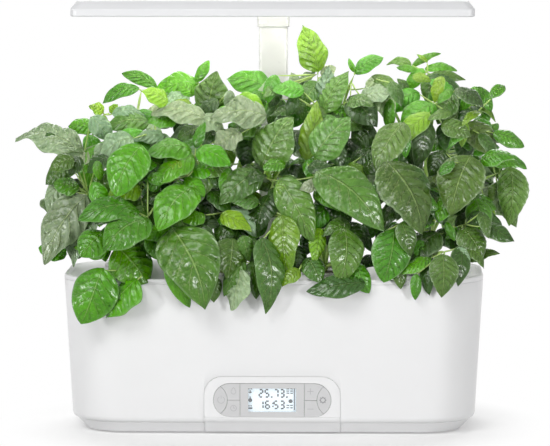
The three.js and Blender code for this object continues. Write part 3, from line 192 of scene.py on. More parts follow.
# Glow of the lit pieces, and of the floor and the surroundings, where 1 is white
LAMP_GLOW = 3.6
DISPLAY_GLOW = 0.22
FLOOR_GLOW = 0.35
ROOM_GLOW = 0.14

# Lean of the tub's wall from upright, in radians
lean = math.atan2(TUB_TAPER, SEAM_HEIGHT - CREASE_HEIGHT)


class GardenSizes(bpy.types.PropertyGroup):
    """Sizes of the skins that the solids leave faceted."""

    tub_width: FloatProperty(
        name="Tub width", description="Width of the tub at the seam", default=0.390, unit="LENGTH")
    tub_depth: FloatProperty(
        name="Tub depth", description="Depth of the tub at the seam", default=0.188, unit="LENGTH")
    tub_radius: FloatProperty(
        name="Tub corner", description="Plan radius of the tub's corners", default=0.060, unit="LENGTH")
    lid_edge: FloatProperty(
        name="Lid edge", description="Rounding of the lid's top edge", default=0.0012, unit="LENGTH")
    lamp_slope: FloatProperty(
        name="Lamp slope inset", description="How far the lamp's top edge is drawn in", default=0.006,
        unit="LENGTH")
    lamp_face: FloatProperty(
        name="Lamp face", description="Height of the upright face of the lamp", default=0.0072, unit="LENGTH")


class GardenColours(bpy.types.PropertyGroup):
    """Colours of the garden's finishes."""

    shell: FloatVectorProperty(
        name="Shell", description="White of the casing and lid", default=(0.74, 0.74, 0.745), subtype="COLOR")
    base: FloatVectorProperty(
        name="Base", description="Light grey of the bottom cover", default=(0.74, 0.74, 0.745),
        subtype="COLOR")
    lamp: FloatVectorProperty(
        name="Lamp", description="White of the lamp housing", default=(0.67, 0.675, 0.685), subtype="COLOR")
    mast: FloatVectorProperty(
        name="Mast", description="White of the mast and its collar", default=(0.68, 0.68, 0.675),
        subtype="COLOR")
    bezel: FloatVectorProperty(
        name="Front insert", description="White of the front insert", default=(0.74, 0.74, 0.745),
        subtype="COLOR")
    keys: FloatVectorProperty(
        name="Keys", description="Light grey of the keys and display frame", default=(0.55, 0.55, 0.555),
        subtype="COLOR")
    marks: FloatVectorProperty(
        name="Marks", description="Grey of the marks on the keys", default=(0.28, 0.28, 0.29),
        subtype="COLOR")
    faint: FloatVectorProperty(
        name="Faint marks", description="Grey of the fainter marks", default=(0.42, 0.42, 0.43),
        subtype="COLOR")
    display: FloatVectorProperty(
        name="Display", description="Pale face of the display", default=(0.78, 0.88, 0.95), subtype="COLOR")
    digits: FloatVectorProperty(
        name="Digits", description="Dark digits of the display", default=(0.06, 0.07, 0.08), subtype="COLOR")


class GardenLeaves(bpy.types.PropertyGroup):
    """How the plants are grown."""

    seed: IntProperty(name="Seed", description="Seed of all scatter in the plants", default=7)
    thickness: FloatProperty(
        name="Leaf thickness", description="Half the thickness of a leaf at its midrib", default=0.00035,
        unit="LENGTH")
    rings: IntProperty(name="Stations", description="Rows of points along a leaf", default=30, min=6)
    spokes: IntProperty(name="Points round", description="Points round a leaf's section", default=28, min=8)


def unit(vectors):
    """Vectors of length one."""
    return vectors / np.maximum(np.linalg.norm(vectors, axis=-1, keepdims=True), TINY)


def grid_faces(rows, columns, wrap, first=0):
    """Quads of a rows by columns grid of points: face (i, j) joins points (i, j), (i, j+1), (i+1, j+1) and
    (i+1, j)."""
    i = np.arange(rows - 1)[:, None]
    j = np.arange(columns if wrap else columns - 1)[None, :]
    ahead = (j + 1) % columns
    quads = np.stack(
        [i * columns + j, i * columns + ahead, (i + 1) * columns + ahead, (i + 1) * columns + j], -1)
    return quads.reshape(-1, 4) + first


def build_mesh(name, points, faces, uv=None, tint=None, smooth=True):
    """A mesh object from a point array and a quad or triangle array; uv and tint hold one value per point."""
    mesh = bpy.data.meshes.new(name)
    points = np.asarray(points, np.float32).reshape(-1, 3)
    faces = np.asarray(faces, np.int32)
    corners = faces.shape[1]
    mesh.vertices.add(len(points))
    mesh.vertices.foreach_set("co", points.ravel())
    mesh.loops.add(faces.size)
    mesh.loops.foreach_set("vertex_index", faces.ravel())
    mesh.polygons.add(len(faces))
    mesh.polygons.foreach_set("loop_start", np.arange(len(faces), dtype=np.int32) * corners)
    mesh.update(calc_edges=True)
    mesh.polygons.foreach_set("use_smooth", np.full(len(faces), smooth))
    if uv is not None:
        layer = mesh.uv_layers.new(name="leaf")
        layer.data.foreach_set("uv", np.asarray(uv, np.float32)[faces.ravel()].ravel())
    if tint is not None:
        attribute = mesh.color_attributes.new("tint", "FLOAT_COLOR", "POINT")
        attribute.data.foreach_set("color", np.asarray(tint, np.float32).ravel())
    mesh.validate()
    mesh.update()
    piece = bpy.data.objects.new(name, mesh)
    bpy.context.scene.collection.objects.link(piece)
    return piece


def settle(piece, body, material, replaced=()):
    """Gives a finished piece its body, slot and material, and hides the CAD nodes that it stands for."""
    piece.data.materials.append(material)
    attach(piece, body)
    if replaced:
        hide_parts(*replaced)


def add_modifier(piece, kind, **settings):
    """Adds a modifier with its settings."""
    modifier = piece.modifiers.new(kind.title(), kind)
    for key, value in settings.items():
        setattr(modifier, key, value)


def finish_skin(piece, wall=None, weld=WELD):
    """Joins doubled points, gives the skin a wall of some millimetres inwards, and evens its shading."""
    add_modifier(piece, "WELD", merge_threshold=weld)
    if wall is not None:
        add_modifier(piece, "SOLIDIFY", thickness=wall * MM, offset=-1.0)
    add_modifier(piece, "WEIGHTED_NORMAL")


def at_height(ring, z):
    """A plan outline lifted to a height in metres."""
    return np.column_stack([ring, np.full(len(ring), z)])


def corner_arcs(half_x, half_y, radius, steps, corners):
    """Quarter circles of the radius at the corners of a rectangle, each given as (sign of x, sign of y,
    start angle)."""
    turns = np.linspace(0, np.pi / 2, steps)
    arcs = []
    for side_x, side_y, start in corners:
        angle = turns + start
        x = side_x * (half_x - radius) + radius * np.cos(angle)
        y = side_y * (half_y - radius) + radius * np.sin(angle)
        arcs.append(np.stack([x, y], -1))
    return arcs


def rounded_outline(half_x, half_y, radius, steps):
    """Anticlockwise outline of a rounded rectangle: each corner is an arc of the radius, joined by straight
    sides."""
    corners = [(1, 1, 0), (-1, 1, np.pi / 2), (-1, -1, 2 * np.pi / 2), (1, -1, 3 * np.pi / 2)]
    return np.concatenate(corner_arcs(half_x, half_y, radius, steps, corners))


def tub_inset(height):
    """Inset of the tub wall in millimetres: an even lean, plus a quarter round just above the crease."""
    height = np.asarray(height, float)
    lean_inset = TUB_TAPER * (SEAM_HEIGHT - height) / (SEAM_HEIGHT - CREASE_HEIGHT)
    share = np.clip((height - CREASE_HEIGHT) / EDGE_ROUND, 0, 1)
    return lean_inset + CREASE_INSET * (1 - np.sqrt(1 - (1 - share) ** 2))


def open_outline(sizes, inset):
    """Outline of the tub without the front insert's place: it runs from the right edge of that place right
    round to the left edge. The inset is drawn in evenly from a rounded rectangle."""
    half_x = sizes.tub_width / 2 - inset * MM
    half_y = sizes.tub_depth / 2 - inset * MM
    radius = sizes.tub_radius - inset * MM
    straight = np.linspace((ARCH_HALF + FINE_GAP) * MM, half_x - radius, TUB_SIDE_STEPS)
    front = np.stack([straight, np.full(TUB_SIDE_STEPS, -half_y)], -1)
    corners = [(1, -1, -np.pi / 2), (1, 1, 0), (-1, 1, np.pi / 2), (-1, -1, np.pi)]
    arcs = corner_arcs(half_x, half_y, radius, TUB_CORNER_STEPS, corners)
    return np.concatenate([front[:-1], *arcs, front[::-1][1:] * [-1, 1]])


def open_sheet(insets, heights):
    """The tub's open outline at each inset and height in millimetres, as rows of points."""
    sizes = bpy.context.scene.garden_sizes
    return np.stack(
        [at_height(open_outline(sizes, float(inset)), z * MM) for inset, z in zip(insets, heights)])


def front_point(x, z, inset=None):
    """Point of the front wall at a height: its depth is half the tub's depth less the inset there."""
    sizes = bpy.context.scene.garden_sizes
    inset = tub_inset(z) if inset is None else inset
    y = -(sizes.tub_depth / 2 - inset * MM)
    return np.stack([x * MM, np.broadcast_to(y, np.shape(x)), np.asarray(z) * MM * np.ones_like(x)], -1)


def arch_height(x, grow):
    """Height of the insert's outline over x: flat on top, falling on a quarter circle at each side."""
    half = ARCH_HALF + grow
    radius = ARCH_RADIUS + grow
    beyond = np.clip(np.abs(x) - (half - radius), 0, radius)
    return ARCH_TOP + grow - radius + np.sqrt(np.maximum(radius ** 2 - beyond ** 2, 0))


def panel_point(x, y, depth):
    """Point in the plane of the front wall, in millimetres: x to the right, y up the wall from the crease,
    depth out of it."""
    sizes = bpy.context.scene.garden_sizes
    x, y, depth = np.broadcast_arrays(np.asarray(x, float), np.asarray(y, float), np.asarray(depth, float))
    front = -sizes.tub_depth / 2 / MM + TUB_TAPER
    world_y = front - y * math.sin(lean) - depth * math.cos(lean)
    world_z = CREASE_HEIGHT + y * math.cos(lean) - depth * math.sin(lean)
    return np.stack([x, world_y, world_z], -1) * MM


# Finishes


class Finish:
    """A node material with one Principled shader and short calls for the nodes between."""

    def __init__(self, name, roughness=0.5, metallic=0.0, specular=0.5):
        self.material = bpy.data.materials.new(name)
        self.material.use_nodes = True
        self.tree = self.material.node_tree
        self.shader = self.tree.nodes["Principled BSDF"]
        self.shader.inputs["Metallic"].default_value = metallic
        self.shader.inputs["Roughness"].default_value = roughness
        self.shader.inputs["Specular IOR Level"].default_value = specular
        self.coordinates = self.tree.nodes.new("ShaderNodeTexCoord")

    def node(self, kind, links=(), **settings):
        """Adds a node; links are (input, source) pairs, where a source is a socket or a plain value."""
        made = self.tree.nodes.new(kind)
        for key, value in settings.items():
            setattr(made, key, value)
        for key, source in links:
            if isinstance(source, bpy.types.NodeSocket):
                self.tree.links.new(source, made.inputs[key])
            else:
                made.inputs[key].default_value = source
        return made

    def maths(self, operation, *values):
        """One Math node's result."""
        return self.node("ShaderNodeMath", list(enumerate(values)), operation=operation).outputs[0]

    def span(self, value, low, high, to_low=0.0, to_high=1.0):
        """Maps a value from one range to another, with soft ends."""
        links = [(0, value), (1, low), (2, high), (3, to_low), (4, to_high)]
        return self.node("ShaderNodeMapRange", links, interpolation_type="SMOOTHSTEP").outputs[0]

    def noise(self, scale, detail=3.0, vector=None):
        """Noise over the piece's own coordinates, or over a vector."""
        source = self.coordinates.outputs["Object"] if vector is None else vector
        return self.node(
            "ShaderNodeTexNoise", [("Vector", source), ("Scale", scale), ("Detail", detail)]).outputs["Fac"]

    def blend(self, share, first, second, kind="MIX"):
        """Mixes two colours by a share."""
        made = self.node("ShaderNodeMix", data_type="RGBA", blend_type=kind)
        for key, source in ((0, share), (6, first), (7, second)):
            if isinstance(source, bpy.types.NodeSocket):
                self.tree.links.new(source, made.inputs[key])
            else:
                made.inputs[key].default_value = source if key == 0 else (*source, 1.0)[:4]
        return made.outputs[2]

    def paint(self, key, socket):
        """Feeds a shader input."""
        self.tree.links.new(socket, self.shader.inputs[key])

    def bump(self, height, strength, distance):
        """Feeds a height to the shader as bump."""
        made = self.node(
            "ShaderNodeBump", [("Height", height), ("Strength", strength), ("Distance", distance)])
        self.paint("Normal", made.outputs["Normal"])

    def coat(self, weight, roughness):
        """Sets a clear coat on the shader."""
        self.shader.inputs["Coat Weight"].default_value = weight
        self.shader.inputs["Coat Roughness"].default_value = roughness

    def glow(self, strength):
        """Sets how strongly the shader gives off its emission colour."""
        self.shader.inputs["Emission Strength"].default_value = strength


def moulded(name, colour, roughness, variation=0.02, grain=MOULD_GRAIN, grain_depth=MOULD_DEPTH, coat=0.0):
    """Moulded plastic: faint cloudy tone, fine grain in the bump and uneven gloss."""
    finish = Finish(name, roughness)
    colour = np.array(colour[:3], float)
    cloud = finish.noise(18.0, 4.0)
    finish.paint(
        "Base Color", finish.blend(cloud, tuple(colour * (1 - variation)), tuple(colour * (1 + variation))))
    wear = finish.noise(90.0, 5.0)
    finish.paint("Roughness", finish.span(wear, 0.3, 0.7, roughness * 0.88, min(1.0, roughness * 1.12)))
    finish.bump(finish.noise(grain, 2.0), 0.25, grain_depth)
    if coat:
        finish.coat(coat, 0.12)
    return finish.material


def clear_finish(name, colour, alpha, roughness):
    """Clear plastic with faint haze, let through by alpha."""
    finish = Finish(name, roughness)
    haze = finish.noise(60.0, 3.0)
    colour = np.array(colour, float)
    finish.paint("Base Color", finish.blend(haze, tuple(colour * 0.97), tuple(colour)))
    finish.paint("Roughness", finish.span(haze, 0.3, 0.7, roughness * 0.8, roughness * 1.4))
    finish.shader.inputs["Alpha"].default_value = alpha
    finish.material.surface_render_method = "BLENDED"
    return finish.material


def glowing_face(name, colour, strength):
    """The lit display: a pale face with faint dots and a soft glow."""
    finish = Finish(name, 0.35)
    dots = finish.noise(2600.0, 0.0)
    cloud = finish.noise(25.0, 2.0)
    colour = np.array(colour[:3], float)
    face = finish.blend(
        finish.span(dots, 0.35, 0.65), tuple(colour * 0.97), tuple(np.minimum(colour * 1.02, 1)))
    face = finish.blend(cloud, face, tuple(np.minimum(colour * 1.04, 1)))
    finish.paint("Base Color", face)
    finish.paint("Emission Color", face)
    finish.glow(strength)
    return finish.material


def circuit_finish(name):
    """Circuit board: green lacquer over faint copper lanes."""
    finish = Finish(name, 0.35)
    lanes = finish.node(
        "ShaderNodeTexBrick",
        [("Vector", finish.coordinates.outputs["Object"]), ("Scale", LANES_PER_METRE), ("Mortar Size", 0.035),
         ("Color1", (0.03, 0.16, 0.06, 1)), ("Color2", (0.04, 0.2, 0.08, 1)),
         ("Mortar", (0.16, 0.3, 0.1, 1))])
    finish.paint("Base Color", lanes.outputs["Color"])
    finish.bump(finish.noise(FINE_GRAIN), 0.2, SHALLOW)
    return finish.material


def sponge_finish(name):
    """Open growing sponge: dark brown with pores, and painted shade darkening each pore towards its bottom.
    """
    finish = Finish(name, 0.95)
    pores = finish.node(
        "ShaderNodeTexVoronoi",
        [("Vector", finish.coordinates.outputs["Object"]), ("Scale", PORES_PER_METRE)])
    depth = finish.span(pores.outputs["Distance"], 0.0, 0.6)
    # Painted shade: the colour darkens towards each pore's bottom, where the bump sinks
    colour = finish.blend(depth, (0.02, 0.014, 0.01), (0.11, 0.075, 0.05))
    finish.paint("Base Color", finish.blend(finish.noise(70.0), colour, (0.07, 0.05, 0.035)))
    finish.bump(depth, 0.8, PORE_DEPTH)
    return finish.material


def drawn_steel(name):
    """Drawn wire: noise drawn out along the pin into streaks."""
    finish = Finish(name, 0.3, metallic=1.0)
    stretch = finish.node(
        "ShaderNodeMapping",
        [("Vector", finish.coordinates.outputs["Object"]), ("Scale", (8.0, FINE_GRAIN, FINE_GRAIN))])
    streak = finish.noise(3.0, 2.0, stretch.outputs["Vector"])
    finish.paint("Base Color", finish.blend(streak, (0.5, 0.5, 0.52), (0.72, 0.72, 0.74)))
    finish.paint("Roughness", finish.span(streak, 0.3, 0.7, 0.22, 0.42))
    return finish.material


def lamp_board_finish(name):
    """White coated board with a warm cast and fine speckle."""
    finish = Finish(name, 0.45)
    speck = finish.noise(420.0, 2.0)
    finish.paint(
        "Base Color", finish.blend(finish.span(speck, 0.45, 0.6), (0.86, 0.84, 0.76), (0.92, 0.91, 0.88)))
    finish.bump(speck, 0.2, SHALLOW)
    finish.shader.inputs["Emission Color"].default_value = (1.0, 0.97, 0.92, 1)
    finish.glow(LAMP_GLOW)
    return finish.material


def leaf_finish(name, gloss, veins, painted_rim_highlight, blister, shine):
    """Leaf: the tint of each leaf, with a pale midrib and side veins drawn from its own UV map (across,
    along), a mottled blade, raised quilting between the veins and a painted highlight along the rim where
    the finish asks for one. The tint's alpha says how far the veins stand out, and some light comes through
    the blade."""
    finish = Finish(name, gloss, specular=shine)
    maths, span, blend, noise = finish.maths, finish.span, finish.blend, finish.noise
    places = finish.node("ShaderNodeUVMap", uv_map="leaf")
    split = finish.node("ShaderNodeSeparateXYZ", [(0, places.outputs["UV"])])
    across = maths("ABSOLUTE", maths("SUBTRACT", maths("MULTIPLY", split.outputs[0], 2.0), 1.0))
    wander = maths("MULTIPLY", noise(160.0, 2.0), 0.3)
    slant = maths("MULTIPLY", maths("POWER", across, VEIN_CURVE), VEIN_SLANT)
    phase = maths("ADD", maths("SUBTRACT", maths("MULTIPLY", split.outputs[1], veins), slant), wander)
    wave = maths("ABSOLUTE", maths("SUBTRACT", maths("FRACT", phase), 0.5))
    side_vein = maths("MULTIPLY", span(wave, 0.40, 0.495), span(across, 0.98, 0.4))
    midrib = span(across, 0.06, 0.015)
    vein = maths("MAXIMUM", midrib, maths("MULTIPLY", side_vein, 0.75))
    seen = finish.node("ShaderNodeVertexColor", layer_name="tint")
    tint = seen.outputs["Color"]
    fine = noise(300.0, 3.0)
    patch = noise(55.0, 3.0)
    darker = blend(1.0, tint, (0.60, 0.70, 0.52), "MULTIPLY")
    lighter = blend(1.0, tint, (1.45, 1.28, 1.25), "MULTIPLY")
    blade = blend(span(patch, 0.35, 0.65, 0.0, 0.7), tint, darker)
    blade = blend(span(fine, 0.42, 0.62, 0.0, 0.3), blade, lighter)
    pale = blend(0.6, lighter, (0.50, 0.70, 0.24))
    colour = blend(maths("MULTIPLY", vein, seen.outputs["Alpha"]), blade, pale)
    # Painted highlight: the rim of the blade is lifted towards a pale grey-green, a sheen along the leaf's
    # edge
    edge = maths("MULTIPLY", span(across, 0.86, 1.0), painted_rim_highlight)
    colour = blend(edge, colour, (0.46, 0.60, 0.36))
    finish.paint("Base Color", colour)
    finish.paint("Roughness", span(fine, 0.3, 0.7, gloss * 0.85, min(1.0, gloss * 1.2)))
    ripple = maths("MULTIPLY", noise(150.0, 1.0), 0.45)
    quilt = maths("ADD", maths("SUBTRACT", 1.0, vein), ripple)
    finish.bump(maths("ADD", quilt, maths("MULTIPLY", fine, 0.08)), blister, BLISTER_DEPTH)
    finish.coat(0.3, 0.16)
    passed = blend(1.0, colour, (1.4, 1.6, 0.4), "MULTIPLY")
    through = finish.node("ShaderNodeBsdfTranslucent", [("Color", passed)])
    both = finish.node(
        "ShaderNodeMixShader", [(0, LIGHT_THROUGH), (1, finish.shader.outputs[0]), (2, through.outputs[0])])
    finish.tree.links.new(both.outputs[0], finish.tree.nodes["Material Output"].inputs[0])
    return finish.material


made_finishes = {}


def finish_for(slot):
    """The material of a slot, made once."""
    if slot not in made_finishes:
        colours = bpy.context.scene.garden_colours
        makers = {
            "white_shell": lambda: moulded("satin white shell", colours.shell, 0.32, coat=0.12),
            "grey_shell": lambda: moulded("light grey base", colours.base, 0.5),
            "foot_rubber": lambda: moulded(
                "foot rubber", RUBBER, 0.85, variation=0.15, grain=COARSE_GRAIN, grain_depth=SHALLOW),
            "tank_plastic": lambda: moulded("tank plastic", TANK_WHITE, 0.45),
            "pin_steel": lambda: drawn_steel("drawn pin steel"),
            "mast_white": lambda: moulded("mast white", colours.mast, 0.3, coat=0.2),
            "lamp_white": lambda: moulded("lamp white", colours.lamp, 0.4),
            "led_aluminium": lambda: lamp_board_finish("coated lamp board"),
            "clear_plastic": lambda: clear_finish("clear cover", COVER_TINT, alpha=0.35, roughness=0.2),
            "panel_white": lambda: moulded("front insert white", colours.bezel, 0.4),
            "panel_grey": lambda: moulded("display frame grey", colours.keys, 0.42),
            "display_glass": lambda: clear_finish("display window", WINDOW_TINT, alpha=0.08, roughness=0.05),
            "display_face": lambda: glowing_face("display face", colours.display, DISPLAY_GLOW),
            "key_grey": lambda: moulded("key grey", colours.keys, 0.42),
            "key_mark": lambda: moulded("key mark", colours.marks, 0.6, variation=0.05),
            "faint_mark": lambda: moulded("faint key mark", colours.faint, 0.6, variation=0.05),
            "digit_mark": lambda: moulded("digit mark", colours.digits, 0.5, variation=0.08),
            "board_green": lambda: circuit_finish("circuit board"),
            "pump_black": lambda: moulded(
                "pump black", PUMP_BLACK, 0.45, variation=0.2, grain=FINE_GRAIN, grain_depth=0.8 * SHALLOW),
            "float_foam": lambda: moulded(
                "float foam", FOAM, 0.8, variation=0.1, grain=FOAM_CELLS, grain_depth=2 * SHALLOW),
            "basket_white": lambda: moulded("basket white", BASKET_WHITE, 0.45),
            "sponge_brown": lambda: sponge_finish("growing sponge"),
            "leaf_bright": lambda: leaf_finish(
                "bright glossy leaf", 0.24, VEINS["leaf_bright"], painted_rim_highlight=0.25, blister=0.8, shine=0.35),
            "leaf_veined": lambda: leaf_finish(
                "veined leaf", 0.26, VEINS["leaf_veined"], painted_rim_highlight=0.12, blister=0.9, shine=0.5),
            "leaf_toothed": lambda: leaf_finish(
                "toothed leaf", 0.28, VEINS["leaf_toothed"], painted_rim_highlight=0.45, blister=0.9, shine=0.45),
        }
        made_finishes[slot] = makers[slot]()
    return made_finishes[slot]


# Skins


class GARDEN_OT_casing(bpy.types.Operator):
    """Smooth skin of the tub wall, with the front insert's arch left out of it"""

    bl_idname = "garden.casing"
    bl_label = "Tub casing"

    def execute(self, context):
        shoulder = ARCH_TOP - ARCH_RADIUS
        low = CREASE_HEIGHT + EDGE_ROUND * ROUND_SHARES
        high = np.linspace(shoulder, SEAM_HEIGHT, WALL_ROWS)
        heights = np.concatenate([low, [low[-1] + WALL_BAND, shoulder - WALL_BAND], high])
        wall = open_sheet(tub_inset(heights), heights)
        rows, columns = wall.shape[:2]
        faces = [grid_faces(rows, columns, False)]
        across = (ARCH_HALF + FINE_GAP) * np.sin(np.linspace(-np.pi / 2, np.pi / 2, ARCH_COLUMNS))
        share = (high - shoulder) / (SEAM_HEIGHT - shoulder)
        foot = arch_height(across, FINE_GAP)
        z = foot[None, :] + share[:, None] * (SEAM_HEIGHT - foot)[None, :]
        patch = front_point(np.broadcast_to(across, z.shape), z)
        faces.append(grid_faces(len(high), len(across), False, rows * columns))
        points = np.concatenate([wall.reshape(-1, 3), patch.reshape(-1, 3)])
        piece = build_mesh("casing_skin", points, np.concatenate(faces))
        finish_skin(piece, SKIN)
        settle(piece, "tub", finish_for("white_shell"), ["outer_casing"])
        return {"FINISHED"}


class GARDEN_OT_base(bpy.types.Operator):
    """Bottom cover: a bevel under the crease that runs in to the flat underside"""

    bl_idname = "garden.base"
    bl_label = "Bottom cover"

    def execute(self, context):
        top = CREASE_HEIGHT - GAP
        share = np.array([0.0, 0.05, 0.3, 0.6, 0.9, 0.97, 1.0])
        heights = top - share * (top - BASE_BOTTOM)
        turned_in = np.where(share > 0.95, (share - 0.95) * BASE_TURN_IN, 0)
        bevel = open_sheet(float(tub_inset(CREASE_HEIGHT)) + GAP + share * BASE_INSET + turned_in, heights)
        towards_middle = [bevel[-1:] * [share_left, share_left, 1] for share_left in (0.6, 0.0)]
        sheet = np.concatenate([bevel, *towards_middle])
        faces = grid_faces(len(sheet), sheet.shape[1], False)[:, ::-1]
        piece = build_mesh("base_skin", sheet.reshape(-1, 3), faces)
        finish_skin(piece, SKIN)
        settle(piece, "tub", finish_for("grey_shell"), ["base_cover"])
        return {"FINISHED"}


class GARDEN_OT_lid_edge(bpy.types.Operator):
    """Smooth skirt of the lid, from the seam round the top edge"""

    bl_idname = "garden.lid_edge"
    bl_label = "Lid edge"

    def execute(self, context):
        sizes = context.scene.garden_sizes
        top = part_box("basket_1")[1].z - LID_UNDER_FLANGE
        edge = sizes.lid_edge
        turn = np.linspace(0, np.pi / 2, 7)[1:]
        bottom = (SEAM_HEIGHT + GAP) * MM
        inset = np.concatenate(
            [[LID_HEM, LID_LIP, 0.0, 0.0], edge * (1 - np.cos(turn)), [LID_TREAD, LID_TREAD]])
        height = np.concatenate(
            [[bottom, bottom, bottom + LID_LIP, top - edge], top - edge + edge * np.sin(turn),
             [top + LID_COVER, bottom]])
        rings = []
        for into, z in zip(inset - LID_PROUD, height):
            half_x, half_y = sizes.tub_width / 2 - into, sizes.tub_depth / 2 - into
            rings.append(
                at_height(rounded_outline(half_x, half_y, sizes.tub_radius - into, LID_CORNER_STEPS), z))
        skirt = np.stack(rings + rings[:1])
        piece = build_mesh("lid_edge", skirt.reshape(-1, 3), grid_faces(len(skirt), skirt.shape[1], True))
        add_modifier(piece, "WELD", merge_threshold=LID_WELD)
        settle(piece, "tub", finish_for("white_shell"))
        return {"FINISHED"}


def closed_loft(rings):
    """Quads between rings of equal count, with each end closed onto its own middle."""
    rings = np.asarray(rings, float)
    first = np.broadcast_to(rings[0].mean(0), rings[0].shape)
    last = np.broadcast_to(rings[-1].mean(0), rings[-1].shape)
    sheet = np.concatenate([first[None], rings, last[None]])
    return sheet.reshape(-1, 3), grid_faces(len(sheet), sheet.shape[1], True)


def post(name, node, edge, body, slot):
    """An upright post in a node's place: a rounded rectangle carried from low to high, its ends drawn in on
    a small round."""
    low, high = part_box(node)
    centre = np.array([(low.x + high.x) / 2, (low.y + high.y) / 2])
    turn = np.linspace(0, np.pi / 2, 5)
    insets = np.concatenate([edge * (1 - np.sin(turn)), edge * (1 - np.cos(turn))])
    heights = np.concatenate([low.z + edge * (1 - np.cos(turn)), high.z - edge + edge * np.sin(turn)])
    rings = []
    for inset, z in zip(insets, heights):
        half_x, half_y = (high.x - low.x) / 2 - inset, (high.y - low.y) / 2 - inset
        ring = rounded_outline(half_x, half_y, max(POST_CORNER - inset, LEAST_CORNER), POST_CORNER_STEPS)
        rings.append(at_height(ring + centre, z))
    piece = build_mesh(name, *closed_loft(rings))
    add_modifier(piece, "WELD", merge_threshold=POST_WELD)
    settle(piece, body, finish_for(slot), [node])


class GARDEN_OT_mast(bpy.types.Operator):
    """Mast and its collar, with soft corners"""

    bl_idname = "garden.mast"
    bl_label = "Mast"

    def execute(self, context):
        post("mast_skin", "mast", MAST_EDGE, "lamp_head", "mast_white")
        post("collar_skin", "lamp_collar", COLLAR_EDGE, "lamp_head", "mast_white")
        return {"FINISHED"}


class GARDEN_OT_lamp(bpy.types.Operator):
    """Lamp housing: an upright face, a sloped shoulder and a flat top, hollow from below"""

    bl_idname = "garden.lamp"
    bl_label = "Lamp housing"

    def execute(self, context):
        sizes = context.scene.garden_sizes
        low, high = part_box("lamp_housing")
        half_x, half_y = (high.x - low.x) / 2, (high.y - low.y) / 2
        face_top = low.z + sizes.lamp_face
        glass_low, glass_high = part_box("lamp_diffuser")
        turn = np.linspace(0, np.pi / 2, 6)
        inset = np.concatenate([
            LAMP_EDGE * (1 - np.sin(turn)), [0.0, LAMP_SOFT * 0.15, sizes.lamp_slope - LAMP_SOFT],
            sizes.lamp_slope + LAMP_SOFT * np.array([0.5, 1.6])])
        height = np.concatenate([
            low.z + LAMP_EDGE * (1 - np.cos(turn)), [face_top - LAMP_SOFT, face_top + LAMP_SOFT * 0.2],
            high.z - np.array([LAMP_SHOULDER, LAMP_BRINK, 0.0])])
        outer = []
        for into, z in zip(inset, height):
            outer.append(
                at_height(rounded_outline(half_x - into, half_y - into, LAMP_CORNER, LAMP_CORNER_STEPS), z))
        pocket_x = (glass_high.x - glass_low.x) / 2 + GAP * MM
        pocket_y = (glass_high.y - glass_low.y) / 2 + GAP * MM
        centre = np.array([0.0, (glass_high.y + glass_low.y) / 2])
        inner = []
        for into, z in ((POCKET_STEP, high.z - LAMP_ROOF), (POCKET_STEP, face_top), (0.0, face_top),
                        (0.0, low.z + LAMP_BRINK), (-POCKET_FLARE, low.z)):
            ring = rounded_outline(pocket_x - into, pocket_y - into, POCKET_CORNER, LAMP_CORNER_STEPS)
            inner.append(at_height(ring + centre, z))
        piece = build_mesh("lamp_skin", *closed_loft(inner + outer))
        finish_skin(piece, weld=POST_WELD)
        settle(piece, "lamp_head", finish_for("lamp_white"), ["lamp_housing"])
        return {"FINISHED"}


class GARDEN_OT_insert(bpy.types.Operator):
    """Front insert: a plate between the arch and the stadium, with its toe carried down over the crease"""

    bl_idname = "garden.insert"
    bl_label = "Front insert"

    def execute(self, context):
        base = STADIUM_CENTRE - STADIUM_RADIUS - STADIUM_FOOT
        angle = np.linspace(0, 2 * np.pi, RAY_COUNT)
        straight = STADIUM_HALF - STADIUM_RADIUS
        hole = STADIUM_RADIUS - FINE_GAP
        hole_x = np.sign(np.cos(angle)) * straight + hole * np.cos(angle)
        hole_y = STADIUM_CENTRE + hole * np.sin(angle)
        run, rise = np.cos(angle), np.sin(angle)
        to_side = np.where(
            np.abs(run) > TINY, (ARCH_HALF - np.abs(hole_x)) / np.maximum(np.abs(run), TINY), RAY_REACH)
        to_base = np.where(rise < -TINY, (hole_y - base) / np.maximum(-rise, TINY), RAY_REACH)
        step = np.minimum(to_side, to_base)
        probe = np.linspace(0, 1, PROBE_STEPS)[:, None] * np.minimum(step, PROBE_REACH)[None, :]
        inside = (hole_y + probe * rise) <= arch_height(hole_x + probe * run, 0.0)
        step = np.minimum(step, np.where(inside, probe, 0).max(0))
        share = np.array([0.0, 0.04, 0.5, 0.97, 1.0])
        x = hole_x + share[:, None] * step * run
        z = hole_y + share[:, None] * step * rise
        plate = front_point(x, z)
        plate[0, :, 1] += INSERT_SINK
        plate[-1, :, 1] += np.where(z[-1] > base + SIDE_TOLERANCE, INSERT_EDGE, 0)
        rows, columns = plate.shape[:2]
        faces = [grid_faces(rows, columns, False)[:, ::-1]]
        across = np.linspace(-ARCH_HALF, ARCH_HALF, TOE_COLUMNS)
        rounds = EDGE_ROUND * ROUND_SHARES[::-1]
        down = np.concatenate([[base], CREASE_HEIGHT + rounds[rounds < base - CREASE_HEIGHT]])
        toe_share = np.array([0.02, 0.3, 0.6, 0.95, 1.0])
        toe = CREASE_HEIGHT - toe_share * (CREASE_HEIGHT - BASE_BOTTOM)
        heights = np.concatenate([down, toe])
        insets = np.concatenate([tub_inset(down), float(tub_inset(CREASE_HEIGHT)) + toe_share * BASE_INSET])
        lower = front_point(
            np.broadcast_to(across, (len(heights), len(across))), heights[:, None], insets[:, None])
        faces.append(grid_faces(len(heights), len(across), False, rows * columns)[:, ::-1])
        points = np.concatenate([plate.reshape(-1, 3), lower.reshape(-1, 3)])
        piece = build_mesh("insert_skin", points, np.concatenate(faces))
        finish_skin(piece, INSERT_SKIN)
        settle(piece, "tub", finish_for("panel_white"), ["panel_bezel"])
        return {"FINISHED"}


# Marks on the keys and the display. Their sizes are millimetres from the middle of each: an arc is x, y,
# radius, start and end in degrees, steps, pen and whether it is closed, and a bar is x and y of both ends
# and the pen.

